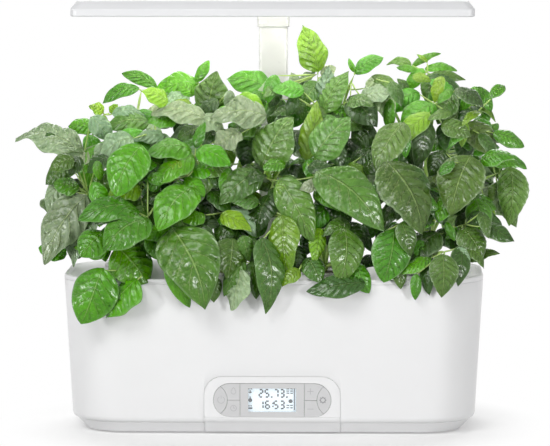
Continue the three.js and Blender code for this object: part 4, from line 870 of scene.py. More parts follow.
# Lift and thickness of the marks, and depth of the display's face, in millimetres
MARK_LIFT = 0.02
MARK_THICKNESS = 0.08
DISPLAY_DEPTH = -3.5
SUN_RAYS = [(2.5 * math.cos(turn), 2.5 * math.sin(turn), 3.3 * math.cos(turn), 3.3 * math.sin(turn), 0.8)
            for turn in np.radians(np.arange(0, 360, 45))]
KEY_MARKS = [
    ("power_mark", (221, 399.5), "power_button", "faint_mark",
     [(0, 0, 3.2, 120, 420, 32, 0.5, False), (0, 1.0, 0, 4.0, 0.5)]),
    ("light_mark", (323.7, 399.5), "light_button", "key_mark",
     [(0, 0, 2.2, 0, 345, 24, 0.85, True), *SUN_RAYS]),
    ("pump_mark", (233.5, 390.5), "pump_button", "faint_mark",
     [(0, -0.6, 2.2, 120, 420, 20, 0.5, False), (-1.6, 1.6, 0, 3.4, 0.5), (0, 3.4, 1.6, 1.6, 0.5)]),
    ("timer_mark", (233.5, 408), "timer_button", "faint_mark",
     [(0, 0, 2.7, 0, 345, 20, 0.5, True), (0, 0, 0, 1.8, 0.5), (0, 0, 1.4, 0, 0.5)]),
    ("plus_mark", (311.1, 390.6), "plus_button", "faint_mark",
     [(-2.9, 0, 2.9, 0, 0.6), (0, -2.9, 0, 2.9, 0.6)]),
    ("minus_mark", (311.1, 408.7), "minus_button", "faint_mark", [(-2.9, 0, 2.9, 0, 0.6)]),
]

# Rows of digits: text, pixel where it starts, width of a digit and the step to the next as a share of the
# width
DIGIT_ROWS = [("25.73.", (259.4, 397.2), 3.2, 1.72), ("16:53", (259.5, 409.0), 3.4, 1.7)]
DIGIT_HEIGHT = 6.9
DIGIT_PEN = 1.35
SIGN_PARTS = {"0": "abcdef", "1": "bc", "2": "abged", "3": "abgcd", "4": "fgbc", "5": "afgcd", "6": "afgedc",
              "7": "abc", "8": "abcdefg", "9": "abcdfg", ".": ["dot"], ":": ["low dot", "high dot"]}
SIGN_STEPS = {".": 0.95, ":": 0.6}

# Signs beside the digits, each round a pixel
DISPLAY_SIGNS = [
    ((250.2, 390.8), [(0, -2.4, 0, 1.0, 0.7), (-1.9, 1.4, 0, 2.6, 0.9), (0, 2.6, 1.9, 1.4, 0.9),
                      (-1.5, -1.4, 1.5, -1.4, 0.9)]),
    ((250.2, 399.6), [(0, -0.8, 0.95, 0, 345, 20, 1.8, True), (0, 0.4, 0, 2.6, 1.1)]),
    ((250.2, 407.6), [(-2.1, -1.0, 2.1, -1.0, 1.3), *[(x, 0.5, x, 2.0, 0.6) for x in (-1.2, 0, 1.2)]]),
    ((291, 401.4), [(0, 0, 0.95, 0, 345, 20, 1.8, True)]),
    *[((286.9, row), [(0, 0, 2.6, 0, 0.9), (3.4, 0, 5.8, 0, 0.9)])
      for row in (388.8, 391, 393.2, 405.6, 408.2)],
    ((294.8, 399), [(0, -10.6, 0, 10.6, 0.8)]),
]


def ribbon(path, width, depth, closed):
    """A flat ribbon on the front wall: the path is offset half the width to each side, and the four corners
    of the section are carried along it."""
    path = np.asarray(path, float)
    ahead = np.gradient(path, axis=0)
    if closed:
        path = np.concatenate([path, path[:1]])
        ahead = np.roll(path[:-1], -1, 0) - np.roll(path[:-1], 1, 0)
        ahead = np.concatenate([ahead, ahead[:1]])
    ahead = unit(ahead)
    side = np.stack([-ahead[:, 1], ahead[:, 0]], -1) * width / 2
    left, right = path + side, path - side
    ring = [panel_point(edge[:, 0], edge[:, 1], depth + lift) for edge, lift in (
        (right, 0), (right, MARK_THICKNESS), (left, MARK_THICKNESS), (left, 0))]
    sheet = np.stack(ring, 1)
    if not closed:
        ends = [np.broadcast_to(sheet[index].mean(0), sheet[index].shape)[None] for index in (0, -1)]
        sheet = np.concatenate([ends[0], sheet, ends[1]])
    return sheet.reshape(-1, 3), grid_faces(len(sheet), 4, True)


def arc(x, y, radius, start, end, steps):
    """Points on a circle between two angles in degrees."""
    angle = np.radians(np.linspace(start, end, steps))
    return np.stack([x + radius * np.cos(angle), y + radius * np.sin(angle)], -1)


def bar(x0, y0, x1, y1):
    """A straight run of points."""
    return np.linspace((x0, y0), (x1, y1), 3)


def panel_pixel(x, y):
    """Place on the front wall of a pixel of the photograph, in millimetres."""
    up = (STADIUM_CENTRE - CREASE_HEIGHT) / PANEL_SCALE + PANEL_Y - y
    return (x - PANEL_X) * PANEL_SCALE, up * PANEL_SCALE


def strokes_at(pixel, rows):
    """Paths of strokes set round the place of a pixel, where a row of five is a bar and a row of eight an
    arc."""
    x, y = panel_pixel(*pixel)
    strokes = []
    for row in rows:
        if len(row) == 5:
            x0, y0, x1, y1, pen = row
            strokes.append((bar(x + x0, y + y0, x + x1, y + y1), pen, False))
        else:
            right, up, radius, start, end, steps, pen, closed = row
            strokes.append((arc(x + right, y + up, radius, start, end, steps), pen, closed))
    return strokes


def digit_strokes(text, x, y, width, pitch):
    """Bars of plain seven-bar digits, set in a row from x, with dots and colons."""
    pen = DIGIT_PEN
    gap = pen * 0.35
    half = DIGIT_HEIGHT / 2
    top = y + DIGIT_HEIGHT
    strokes = []
    for letter in text:
        right = x + width
        places = {
            "a": (x + gap, top, right - gap, top), "b": (right, y + half + gap, right, top - gap),
            "c": (right, y + gap, right, y + half - gap), "d": (x + gap, y, right - gap, y),
            "e": (x, y + gap, x, y + half - gap), "f": (x, y + half + gap, x, top - gap),
            "g": (x + gap, y + half, right - gap, y + half),
            "dot": (x - pen * 0.2, y, x + pen * 0.9, y),
            "low dot": (x + pen * 0.2, y + DIGIT_HEIGHT * 0.3, x + pen * 1.2, y + DIGIT_HEIGHT * 0.3),
            "high dot": (x + pen * 0.2, y + DIGIT_HEIGHT * 0.7, x + pen * 1.2, y + DIGIT_HEIGHT * 0.7),
        }
        strokes += [(bar(*places[part]), pen, False) for part in SIGN_PARTS[letter]]
        x += width * SIGN_STEPS.get(letter, pitch)
    return strokes


def marks(name, strokes, depth, body, slot):
    """One piece from many ribbons, each given as (path, width, closed)."""
    points, faces, count = [], [], 0
    for path, width, closed in strokes:
        new_points, new_faces = ribbon(path, width, depth, closed)
        points.append(new_points)
        faces.append(new_faces + count)
        count += len(new_points)
    piece = build_mesh(name, np.concatenate(points), np.concatenate(faces), smooth=False)
    settle(piece, body, finish_for(slot))


class GARDEN_OT_marks(bpy.types.Operator):
    """Plain marks on the keys and the digits of the display"""

    bl_idname = "garden.marks"
    bl_label = "Marks and digits"

    def execute(self, context):
        for name, pixel, body, slot, rows in KEY_MARKS:
            marks(name, strokes_at(pixel, rows), MARK_LIFT, body, slot)
        strokes = []
        for text, pixel, width, pitch in DIGIT_ROWS:
            strokes += digit_strokes(text, *panel_pixel(*pixel), width, pitch)
        for pixel, rows in DISPLAY_SIGNS:
            strokes += strokes_at(pixel, rows)
        marks("display_marks", strokes, DISPLAY_DEPTH, "tub", "digit_mark")
        return {"FINISHED"}


# Plants

# Kinds of leaf: tint, how far the veins stand out, fall of the edges, channel at the midrib, quilting,
# waves of the edge, teeth, and how pointed the tip is
KIND_FIELDS = ("tint", "vein", "spoon", "channel", "quilt", "wave", "saw", "point")
KIND_ROWS = {
    "B": ((0.088, 0.325, 0.001), 0.40, 0.60, 0.10, 0.38, 0.08, 0.0, 0.80),
    "D": ((0.083, 0.206, 0.018), 0.60, 0.50, 0.25, 0.44, 0.08, 0.0, 0.98),
    "S": ((0.099, 0.204, 0.022), 0.60, 0.45, 0.25, 0.42, 0.08, 0.06, 1.00),
    "Y": ((0.195, 0.375, 0.006), 0.40, 0.45, 0.15, 0.36, 0.10, 0.0, 1.00),
    "G": ((0.300, 0.420, 0.250), 0.50, 0.45, 0.20, 0.60, 0.16, 0.02, 0.95),
    # K carries painted shade: its dark tint stands for the deep shade between the leaves
    "K": ((0.030, 0.102, 0.003), 0.30, 0.50, 0.15, 0.32, 0.08, 0.0, 0.95),
}
KINDS = {kind: dict(zip(KIND_FIELDS, row)) for kind, row in KIND_ROWS.items()}

# Parts of the photograph that each plant fills with small leaves: left, top, right and bottom in pixels,
# depth share at the near and the far side, how many, and the kinds they take in turn
FILLED = {
    1: (60, 150, 165, 296, -0.66, -0.20, 54, "DBKBBD"),
    2: (152, 160, 250, 300, -0.66, -0.20, 60, "KKBDKBK"),
    3: (254, 160, 368, 288, -0.62, -0.20, 46, "KDKBDYK"),
    4: (376, 160, 486, 284, -0.60, -0.15, 46, "KSBKSB"),
    5: (54, 108, 165, 200, -0.15, 0.30, 36, "GBGKB"),
    6: (160, 84, 274, 170, -0.20, 0.35, 40, "GBGYKB"),
    7: (266, 74, 366, 180, -0.25, 0.30, 36, "DGBKD"),
    8: (384, 72, 506, 226, -0.25, 0.30, 52, "BYSBKB"),
}

# Leaves of each plant in pixels of the photograph: base x, base y, tip x, tip y, width, depth share at the
# base, depth share at the tip, kind, and, where a leaf is bowed, twice how far its middle is moved to the
# right and down
PLACED = {
    1: [
        (152, 238, 126, 264, 30, -.56, -.62, "K"), (124, 240, 100, 232, 22, -.50, -.56, "K"),
        (103, 269, 80, 326, 46, -.82, -.88, "B", 4, 0), (137, 280, 106, 320, 30, -.80, -.82, "B", 2, 0),
        (150, 220, 103, 250, 40, -.80, -.95, "B", -2, -5), (140, 212, 77, 221, 26, -.70, -.85, "B", 0, -9),
        (103, 232, 80, 257, 30, -.75, -.85, "B"), (116, 248, 148, 284, 42, -.68, -.76, "B"),
        (142, 145, 115, 197, 40, -.62, -.78, "B", -3, -4), (86, 195, 42, 264, 44, -.42, -.60, "G", -3, -6),
        (90, 200, 72, 268, 34, -.40, -.50, "G"), (64, 176, 46, 214, 18, -.20, -.28, "G"),
        (76, 192, 60, 205, 16, -.22, -.28, "B"), (120, 212, 95, 225, 20, -.62, -.70, "K"),
        (128, 245, 118, 275, 24, -.60, -.66, "K"), (118, 180, 128, 215, 26, -.45, -.55, "D"),
        (112, 205, 140, 222, 22, -.5, -.6, "K"), (150, 232, 165, 262, 24, -.6, -.7, "B"),
        (140, 188, 108, 196, 24, -.55, -.7, "Y", 0, -3),
    ],
    2: [
        (242, 220, 232, 250, 24, -.48, -.54, "K"), (216, 188, 203, 220, 24, -.40, -.48, "K"),
        (192, 150, 147, 152, 24, -.46, -.58, "B", 0, -5), (194, 156, 154, 182, 28, -.50, -.66, "B", 0, -3),
        (196, 188, 158, 229, 40, -.60, -.90, "B", -4, -4), (196, 148, 204, 121, 13, -.44, -.40, "B"),
        (197, 150, 231, 166, 20, -.50, -.58, "B", 0, -4), (172, 228, 206, 310, 62, -.76, -.98, "D", 7, -8),
        (166, 260, 190, 309, 20, -.78, -.80, "B"), (233, 239, 227, 280, 38, -.74, -.84, "D"),
        (221, 215, 252, 232, 18, -.62, -.68, "Y", 0, -3), (225, 208, 257, 236, 18, -.50, -.60, "G", 3, -3),
        (205, 215, 183, 222, 16, -.62, -.70, "B"), (243, 270, 232, 312, 27, -.80, -.82, "G", 3, 0),
        (200, 226, 215, 250, 16, -.70, -.76, "K"), (243, 236, 250, 262, 18, -.75, -.76, "D"),
        (245, 262, 224, 298, 18, -.76, -.80, "D", -3, 0), (176, 208, 190, 240, 24, -.62, -.68, "D"),
        (210, 170, 196, 200, 22, -.45, -.55, "D"), (210, 190, 232, 214, 20, -.48, -.56, "K"),
        (185, 178, 205, 196, 18, -.52, -.6, "B"), (214, 262, 200, 290, 22, -.6, -.7, "K"),
        (182, 160, 168, 172, 14, -.55, -.62, "Y"), (252, 262, 258, 300, 20, -.74, -.80, "K"),
        (212, 276, 214, 304, 18, -.74, -.78, "D"),
    ],
    3: [
        (314, 230, 303, 258, 18, -.48, -.54, "K"), (372, 150, 350, 168, 20, -.30, -.36, "K"),
        (262, 172, 219, 205, 30, -.45, -.60, "D", -3, -4), (262, 238, 267, 315, 32, -.76, -.84, "D", 6, 0),
        (283, 215, 287, 276, 34, -.70, -.80, "Y", 3, 0), (280, 178, 314, 244, 36, -.60, -.72, "D", 4, -4),
        (316, 172, 386, 230, 46, -.66, -.84, "D", 4, -8), (315, 190, 341, 211, 16, -.60, -.68, "B", 0, -3),
        (345, 228, 341, 286, 36, -.68, -.82, "D", 4, 0), (342, 224, 366, 250, 26, -.58, -.66, "K"),
        (326, 218, 330, 247, 19, -.56, -.64, "K"), (320, 228, 314, 265, 18, -.64, -.74, "Y"),
        (308, 258, 322, 285, 22, -.70, -.80, "D"), (366, 283, 307, 292, 21, -.80, -.83, "K", 0, 3),
        (300, 270, 282, 287, 16, -.78, -.82, "Y"), (262, 172, 236, 178, 20, -.40, -.5, "K"),
        (270, 195, 256, 232, 26, -.5, -.6, "K"), (300, 200, 300, 235, 24, -.5, -.6, "K"),
        (330, 195, 352, 222, 24, -.5, -.6, "K"), (296, 245, 300, 275, 20, -.62, -.7, "K"),
        (352, 262, 370, 294, 20, -.72, -.78, "B"), (290, 180, 276, 196, 14, -.6, -.66, "Y"),
        (322, 184, 300, 190, 13, -.66, -.7, "G"),
    ],
    4: [
        (438, 230, 464, 250, 24, -.40, -.46, "K"), (446, 150, 430, 176, 22, -.24, -.30, "K"),
        (386, 161, 426, 233, 54, -.60, -.75, "S", 5, -4), (472, 155, 451, 216, 46, -.45, -.60, "S", -4, -3),
        (395, 229, 385, 283, 40, -.72, -.82, "B", 3, 0), (444, 254, 443, 298, 30, -.78, -.84, "S", 3, 0),
        (417, 274, 417, 301, 12, -.80, -.82, "B"), (440, 232, 404, 270, 32, -.50, -.66, "K", -3, 0),
        (476, 197, 482, 238, 28, -.35, -.45, "B", 3, 0), (462, 228, 484, 259, 26, -.50, -.60, "S", 3, 0),
        (462, 246, 460, 286, 22, -.64, -.78, "K"), (466, 246, 485, 269, 12, -.58, -.62, "S", 2, 0),
        (432, 258, 402, 274, 14, -.70, -.78, "B", 0, 3), (402, 222, 412, 257, 20, -.74, -.78, "D"),
        (447, 222, 456, 241, 9, -.52, -.56, "B"), (458, 247, 471, 268, 13, -.66, -.68, "G"),
        (430, 190, 446, 226, 26, -.4, -.5, "K"), (400, 200, 384, 228, 22, -.5, -.6, "K"),
        (470, 210, 462, 240, 22, -.3, -.4, "K"), (420, 240, 428, 268, 18, -.6, -.66, "B"),
        (452, 190, 440, 222, 20, -.45, -.55, "B"), (428, 264, 430, 296, 16, -.72, -.78, "K"),
        (398, 262, 402, 290, 16, -.72, -.78, "D"),
    ],
    5: [
        (84, 155, 16, 137, 35, -.10, -.10, "G", -2, -7), (140, 88, 103, 104, 14, .30, .30, "B", -4, -7),
        (104, 112, 89, 106, 13, .20, .20, "Y", 0, -2), (158, 88, 122, 73, 12, .35, .35, "B", 0, -4),
        (150, 122, 102, 128, 20, .05, .00, "D", 0, -3), (96, 128, 68, 126, 16, .10, .10, "B", 0, -3),
        (110, 144, 96, 167, 22, -.15, -.25, "G"), (165, 136, 132, 140, 14, -.16, -.20, "G"),
        (72, 160, 58, 184, 20, -.05, -.10, "Y"), (80, 158, 62, 176, 12, .00, .02, "B"),
        (110, 113, 118, 104, 9, .2, .2, "Y"), (106, 116, 92, 136, 13, .15, .12, "Y"),
        (112, 114, 146, 116, 13, .1, .1, "G", 0, -3), (112, 122, 101, 137, 11, .08, .06, "G"),
        (120, 132, 150, 152, 22, -.1, -.2, "B", 0, -3), (96, 150, 124, 168, 22, -.1, -.2, "D"),
        (140, 110, 160, 128, 14, .15, .1, "B"), (128, 158, 146, 184, 20, -.1, -.2, "K"),
        (133, 138, 99, 158, 26, -.35, -.45, "G", 0, -3),
    ],
    6: [
        (275, 94, 228, 77, 27, .26, .26, "B", 0, -3), (208, 112, 216, 71, 39, .10, .10, "D", 3, 0),
        (200, 84, 154, 93, 26, .28, .32, "B", 0, -5), (196, 82, 209, 60, 11, .25, .25, "B", 3, 0),
        (267, 116, 211, 117, 30, -.25, -.30, "G", 0, -4), (262, 124, 226, 142, 25, -.18, -.22, "D", 0, -3),
        (262, 92, 238, 106, 16, .16, .12, "B"), (190, 96, 160, 106, 19, .20, .15, "G"),
        (207, 120, 152, 111, 22, -.20, -.20, "G", 0, -3), (192, 103, 170, 104, 9, .1, .1, "Y"),
        (195, 95, 180, 82, 14, .2, .2, "B"), (200, 128, 178, 140, 18, -.05, -.1, "D"),
        (214, 130, 204, 148, 16, -.1, -.2, "K"), (236, 120, 250, 140, 16, -.12, -.2, "B"),
        (222, 100, 236, 112, 14, .1, .05, "Y"), (208, 100, 198, 116, 14, .15, .1, "B"),
        (242, 133, 213, 150, 24, -.38, -.42, "G"),
    ],
    7: [
        (374, 126, 352, 148, 28, -.10, -.12, "K"), (262, 168, 294, 117, 46, -.33, -.30, "D", 0, -3),
        (315, 158, 351, 116, 36, -.40, -.38, "D"), (306, 160, 318, 100, 24, -.28, -.20, "Y", 2, 0),
        (319, 72, 303, 25, 31, .05, .08, "Y", -2, 0), (320, 82, 303, 104, 23, .00, -.08, "D"),
        (324, 112, 350, 71, 26, -.14, -.10, "D"), (322, 76, 336, 66, 13, .10, .12, "G"),
        (350, 108, 318, 122, 22, -.08, -.16, "K", 0, 3), (355, 73, 384, 57, 15, .00, .00, "B", 0, -2),
        (355, 72, 349, 58, 6, .00, .00, "B"), (326, 110, 329, 66, 24, -.1, -.05, "G"),
        (298, 108, 270, 117, 13, .0, -.05, "D"), (300, 90, 279, 92, 11, .05, .05, "Y", 0, -2),
        (298, 90, 292, 72, 14, .05, .05, "G"), (300, 82, 316, 72, 9, .1, .1, "G"),
        (300, 130, 290, 155, 20, -.2, -.3, "K"), (330, 140, 344, 168, 22, -.25, -.35, "K"),
        (318, 122, 300, 140, 18, -.15, -.2, "B"), (334, 104, 348, 124, 16, -.1, -.15, "B"),
        (350, 96, 378, 126, 28, -.15, -.25, "K"), (252, 136, 244, 168, 24, -.12, -.18, "K"),
        (352, 138, 345, 172, 26, -.12, -.18, "K"),
    ],
    8: [
        (454, 94, 438, 124, 24, -.05, -.10, "D"), (511, 166, 510, 226, 32, -.10, -.18, "S", 8, 0),
        (500, 182, 490, 203, 14, -.10, -.15, "S"), (502, 155, 528, 168, 10, .08, .08, "B", 3, 0),
        (464, 124, 498, 156, 28, -.10, -.15, "S", 3, -3), (452, 98, 497, 120, 13, .15, .15, "Y", 6, -9),
        (452, 100, 470, 121, 22, .05, .00, "D"), (436, 104, 402, 130, 26, -.10, -.20, "B", -3, -5),
        (405, 122, 376, 171, 33, -.40, -.58, "S", -3, 0), (420, 92, 386, 110, 20, .05, .00, "B", -2, -3),
        (372, 76, 392, 122, 26, .05, -.10, "G", 3, 0), (425, 69, 458, 69, 10, .25, .30, "B", 0, -2),
        (430, 76, 466, 80, 10, .20, .25, "D", 0, -3), (428, 78, 464, 92, 16, .15, .20, "K", 0, -3),
        (412, 66, 441, 52, 8, .28, .30, "B", 0, -2), (412, 64, 387, 63, 10, .25, .25, "D", 0, -2),
        (424, 68, 407, 90, 13, .20, .18, "B"), (478, 120, 493, 133, 14, .00, .00, "B"),
        (428, 62, 417, 54, 5, .25, .25, "Y"), (418, 70, 397, 67, 7, .2, .2, "B"),
        (408, 90, 398, 78, 10, .1, .1, "D"), (430, 80, 458, 98, 13, .12, .12, "B", 0, -2),
        (447, 122, 445, 150, 20, -.05, -.1, "K"), (430, 112, 396, 150, 20, -.2, -.3, "Y", -3, 0),
        (372, 76, 403, 95, 13, .05, .0, "S", 0, -2), (404, 130, 406, 158, 13, -.3, -.35, "B"),
        (472, 150, 460, 135, 10, -.1, -.1, "B"), (437, 98, 430, 92, 12, .1, .1, "B"),
        (450, 98, 430, 96, 12, .12, .12, "Y"), (480, 100, 482, 88, 6, .1, .1, "Y"),
        (470, 190, 484, 205, 10, -.2, -.25, "D"), (426, 116, 418, 168, 26, -.2, -.3, "K"),
        (408, 142, 414, 188, 26, -.15, -.22, "K"), (468, 130, 462, 162, 22, -.02, -.08, "K"),
    ],
}

# Main stems of each plant: pixel of the tip and its depth share
STEMS = {
    1: [(148, 218, -.68), (100, 235, -.60), (137, 156, -.25), (142, 276, -.76), (88, 194, -.32)],
    2: [(195, 158, -.46), (178, 232, -.62), (226, 212, -.50), (240, 262, -.74)],
    3: [(264, 176, -.40), (284, 216, -.60), (318, 176, -.58), (344, 226, -.62), (302, 265, -.74),
        (365, 282, -.76)],
    4: [(392, 172, -.52), (470, 158, -.40), (384, 232, -.66), (446, 252, -.74), (466, 224, -.45)],
    5: [(84, 155, -.08), (142, 90, .30), (104, 114, .20), (158, 130, -.05)],
    6: [(208, 112, .10), (270, 94, .28), (200, 84, .28), (262, 120, -.10)],
    7: [(266, 168, -.30), (316, 160, -.30), (318, 74, .05), (324, 112, -.10), (355, 74, .00)],
    8: [(500, 172, -.05), (464, 124, -.05), (436, 104, -.05), (428, 72, .22), (404, 124, -.30),
        (374, 78, .05)],
}

# Leaves that turn to the rear in each plant of the back row: how many are tried, how far below its part of
# the photograph they may start, their reach in pixels, depth shares, widths as shares of their length, and
# the kinds they take in turn
REAR_COUNT = 26
REAR_DROP = 50
REAR_REACH = (24, 44)
REAR_BASE_DEPTHS = (0.28, 0.46)
REAR_TIP_DEPTHS = (0.50, 0.84)
REAR_WIDTHS = (0.46, 0.62)
REAR_LETTERS = "BGKDBK"

# Reach of the small leaves in pixels, depth share from base to tip, where less than 0 is nearer, and their
# widths as shares of their length
FILL_REACH = (20, 38)
FILL_FORWARD = (-0.12, 0.02)
FILL_WIDTHS = {"leaf_bright": (0.52, 0.70), "leaf_veined": (0.48, 0.64), "leaf_toothed": (0.36, 0.52)}

# Places that the strewn leaves keep to, in metres: between these heights, and clear of the mast and of the
# open flap at the back
FILL_LOWEST = 0.155
FILL_HIGHEST = 0.352
MAST_LEFT = -0.039
MAST_RIGHT = 0.033
FLAP_LEFT = 0.055
FLAP_RIGHT = 0.135
FLAP_TOP = 0.200
BACK_START = 0.042

# Radii, sag and scatter of the stems and stalks, in metres, their tint, and the share of the radius that
# is left at their ends
STEM_START = 0.0021
STEM_END = 0.0011
STALK_START = 0.0009
STALK_END = 0.0006
STALK_SAG = 0.0015
STEM_SCATTER = 0.002
CROWN_DROP = 0.0015
LEAST_RISE = 0.03
STEM_TINT = (0.30, 0.42, 0.10, 1.0)
THIN_END = 0.05

# Shape of a leaf: how fast it widens from its base, its teeth, and waves of its edge from base to tip
LEAF_RISE = 0.62
LEAF_TEETH = 9
EDGE_WAVES = 2.2

PLANT_SLOTS = {1: "leaf_bright", 2: "leaf_bright", 3: "leaf_veined", 4: "leaf_toothed", 5: "leaf_bright",
               6: "leaf_bright", 7: "leaf_veined", 8: "leaf_toothed"}
BACK_ROW = (5, 6, 7, 8)


def from_photo(x, y, depth):
    """Points seen at pixels of the photograph, at a depth share. A pixel is a point of an upright plane at
    the front of the tub, spread evenly from the canopy's axis and its lower edge, and the line from the eye
    through it is carried on to that depth."""
    x, y, depth = np.broadcast_arrays(np.asarray(x, float), np.asarray(y, float), np.asarray(depth, float))
    eye = np.array([VIEW_SIDE, -VIEW_DISTANCE, VIEW_HEIGHT])
    front = -bpy.context.scene.garden_sizes.tub_depth / 2
    datum = (SEAM_HEIGHT - CANOPY_HANG) * MM
    seen = np.stack([(x / CANOPY_PIXELS - CANOPY_AXIS) * CANOPY_SPAN, np.full(x.shape, front),
                     datum + (CANOPY_ZERO - y) / CANOPY_PIXELS * CANOPY_SPAN], -1)
    carry = (VIEW_DISTANCE + depth * CANOPY_DEPTH) / (VIEW_DISTANCE + front)
    return eye + (seen - eye) * carry[..., None]


def clear_of_mast_and_flap(start, end):
    """Which of the leaves from start to end keep to the canopy and clear of the mast and of the open flap."""
    lowest, highest = np.minimum(start, end), np.maximum(start, end)
    inside = (lowest[:, 2] > FILL_LOWEST) & (highest[:, 2] < FILL_HIGHEST)
    behind = highest[:, 1] > BACK_START
    at_mast = (lowest[:, 0] < MAST_RIGHT) & (highest[:, 0] > MAST_LEFT)
    at_flap = (highest[:, 0] > FLAP_LEFT) & (lowest[:, 0] < FLAP_RIGHT) & (lowest[:, 2] < FLAP_TOP)
    return inside & ~(behind & (at_mast | at_flap))


def grow_leaves(base, tip, width, bow, tint, shape, settings, rng, away):
    """All leaves of one kind of a plant at once, as closed lens sections round each midrib. Along a leaf t
    runs 0 to 1 and round its section s = cos(angle). The midrib is a parabola from base to tip, bowed along
    the leaf's normal and by the given bow. Half the width is t^LEAF_RISE (1-t)^point, scaled to its peak.
    Across, the blade falls with s squared after a shallow channel at the midrib, twists along its length,
    waves near its edge, and is quilted between the side veins."""
    count = len(base)
    t = np.linspace(0.0, 1.0, settings.rings)[None, :, None]
    angle = np.linspace(0, 2 * np.pi, settings.spokes, endpoint=False)[None, None, :]
    s = np.cos(angle)
    along = unit(tip - base)
    length = np.linalg.norm(tip - base, axis=-1)
    facing = np.stack([rng.uniform(-0.3, 0.3, count), np.where(away, 0.75, -0.75), np.full(count, 0.65)], -1)
    side = unit(np.cross(along, facing))
    normal = np.cross(side, along)
    half = (width / 2 / np.sqrt(np.maximum(1 - side[:, 1] ** 2, 0.5)))[:, None, None]
    turn = rng.uniform(-0.2, 0.2, count)[:, None, None]
    turn = turn + rng.uniform(-0.5, 0.5, count)[:, None, None] * (t - 0.3)
    cos, sin = np.cos(turn)[..., 0, None], np.sin(turn)[..., 0, None]
    side, normal = side[:, None] * cos + normal[:, None] * sin, normal[:, None] * cos - side[:, None] * sin
    widest = LEAF_RISE / (LEAF_RISE + shape["point"])
    peak = widest ** LEAF_RISE * (1 - widest) ** shape["point"]
    profile = t ** LEAF_RISE * (1 - t) ** shape["point"] / peak
    teeth = 1 + shape["saw"] * (2 * np.abs((t * LEAF_TEETH + 0.3) % 1 - 0.5) - 0.5)
    wide = half * profile * teeth
    scale = length[:, None, None]
    arch = rng.uniform(0.16, 0.30, count)[:, None, None] * scale
    hook = rng.uniform(-0.02, 0.09, count)[:, None, None] * scale
    phase = rng.uniform(0, 2 * np.pi, count)[:, None, None]
    across = np.abs(s)
    pattern = np.abs(np.sin(np.pi * (t * shape["veins"] - VEIN_SLANT * across ** VEIN_CURVE - 0.5))) ** 0.7
    inner = np.clip(across * 4, 0, 1) * np.clip((1 - across) * 5, 0, 1)
    quilt = shape["quilt"] * wide * 0.7 * (pattern - 0.7) * inner
    wave = shape["wave"] * half * across ** 3 * np.sin(
        2 * np.pi * (EDGE_WAVES * t + 0.15 * np.sign(s)) + phase)
    spoon = shape["spoon"] * rng.uniform(0.6, 1.3, count)[:, None, None]
    blade = wide * (shape["channel"] * across - (spoon + shape["channel"]) * across ** 2 * 0.6)
    lift = arch * t * (1 - t) * 2 - hook * t ** 3 + blade + quilt + wave
    section = np.sqrt(np.maximum(1 - s ** 2, 0)) * np.sign(np.sin(angle))
    thick = settings.thickness * (0.35 + profile) * section
    middle = base[:, None, :] + (tip - base)[:, None, :] * t[..., 0][..., None]
    middle = middle + bow[:, None, :] * (4 * t * (1 - t))[..., 0][..., None]
    points = (middle[:, :, None, :] + side[:, :, None, :] * (s * wide)[..., None]
              + normal[:, :, None, :] * (lift + thick)[..., None])
    shape_of = (count, settings.rings, settings.spokes)
    uv = np.stack([np.broadcast_to((s + 1) / 2, shape_of), np.broadcast_to(t, shape_of)], -1)
    under = np.broadcast_to(np.sin(angle) < -0.01, shape_of)[..., None]
    paler = tint * [0.7, 0.75, 0.7, 1.0] + [0.09, 0.11, 0.05, 0.0]
    colour = np.where(under, paler[:, None, None, :], tint[:, None, None, :])
    block = grid_faces(settings.rings, settings.spokes, True)
    each = settings.rings * settings.spokes
    faces = (block[None] + (np.arange(count) * each)[:, None, None]).reshape(-1, 4)
    return points.reshape(-1, 3), faces, uv.reshape(-1, 2), colour.reshape(-1, 4)


def tubes(start, middle, end, radius_start, radius_end, rings, spokes):
    """Round stems, each carried along a quadratic bend of three points, thinning evenly from start to end,
    with nearly closed ends. All have the pale tint of stems."""
    count = len(start)
    t = np.linspace(0, 1, rings)[None, :, None]
    path = (1 - t) ** 2 * start[:, None] + 2 * t * (1 - t) * middle[:, None] + t ** 2 * end[:, None]
    ahead = unit(np.gradient(path, axis=1))
    side = unit(np.cross(np.array([1.0, 0.02, 0.1]), ahead))
    other = np.cross(ahead, side)
    angle = np.linspace(0, 2 * np.pi, spokes, endpoint=False)
    radius = radius_start + (radius_end - radius_start) * t[..., 0] + np.zeros((count, 1))
    radius = radius * np.where((np.arange(rings) == 0) | (np.arange(rings) == rings - 1), THIN_END, 1.0)
    points = path[:, :, None] + radius[..., None, None] * (
        side[:, :, None] * np.cos(angle)[:, None] + other[:, :, None] * np.sin(angle)[:, None])
    each = rings * spokes
    faces = (grid_faces(rings, spokes, True)[None] + (np.arange(count) * each)[:, None, None]).reshape(-1, 4)
    uv = np.broadcast_to([0.5, 0.3], (count * each, 2))
    colour = np.broadcast_to(STEM_TINT, (count * each, 4))
    return points.reshape(-1, 3), faces, uv, colour


def gather(parts):
    """Joins (points, faces, uv, tint) blocks into one."""
    counts = np.cumsum([0] + [len(part[0]) for part in parts])
    faces = [part[1] + count for part, count in zip(parts, counts)]
    points, uv, tint = (np.concatenate([part[index] for part in parts]) for index in (0, 2, 3))
    return points, np.concatenate(faces), uv, tint


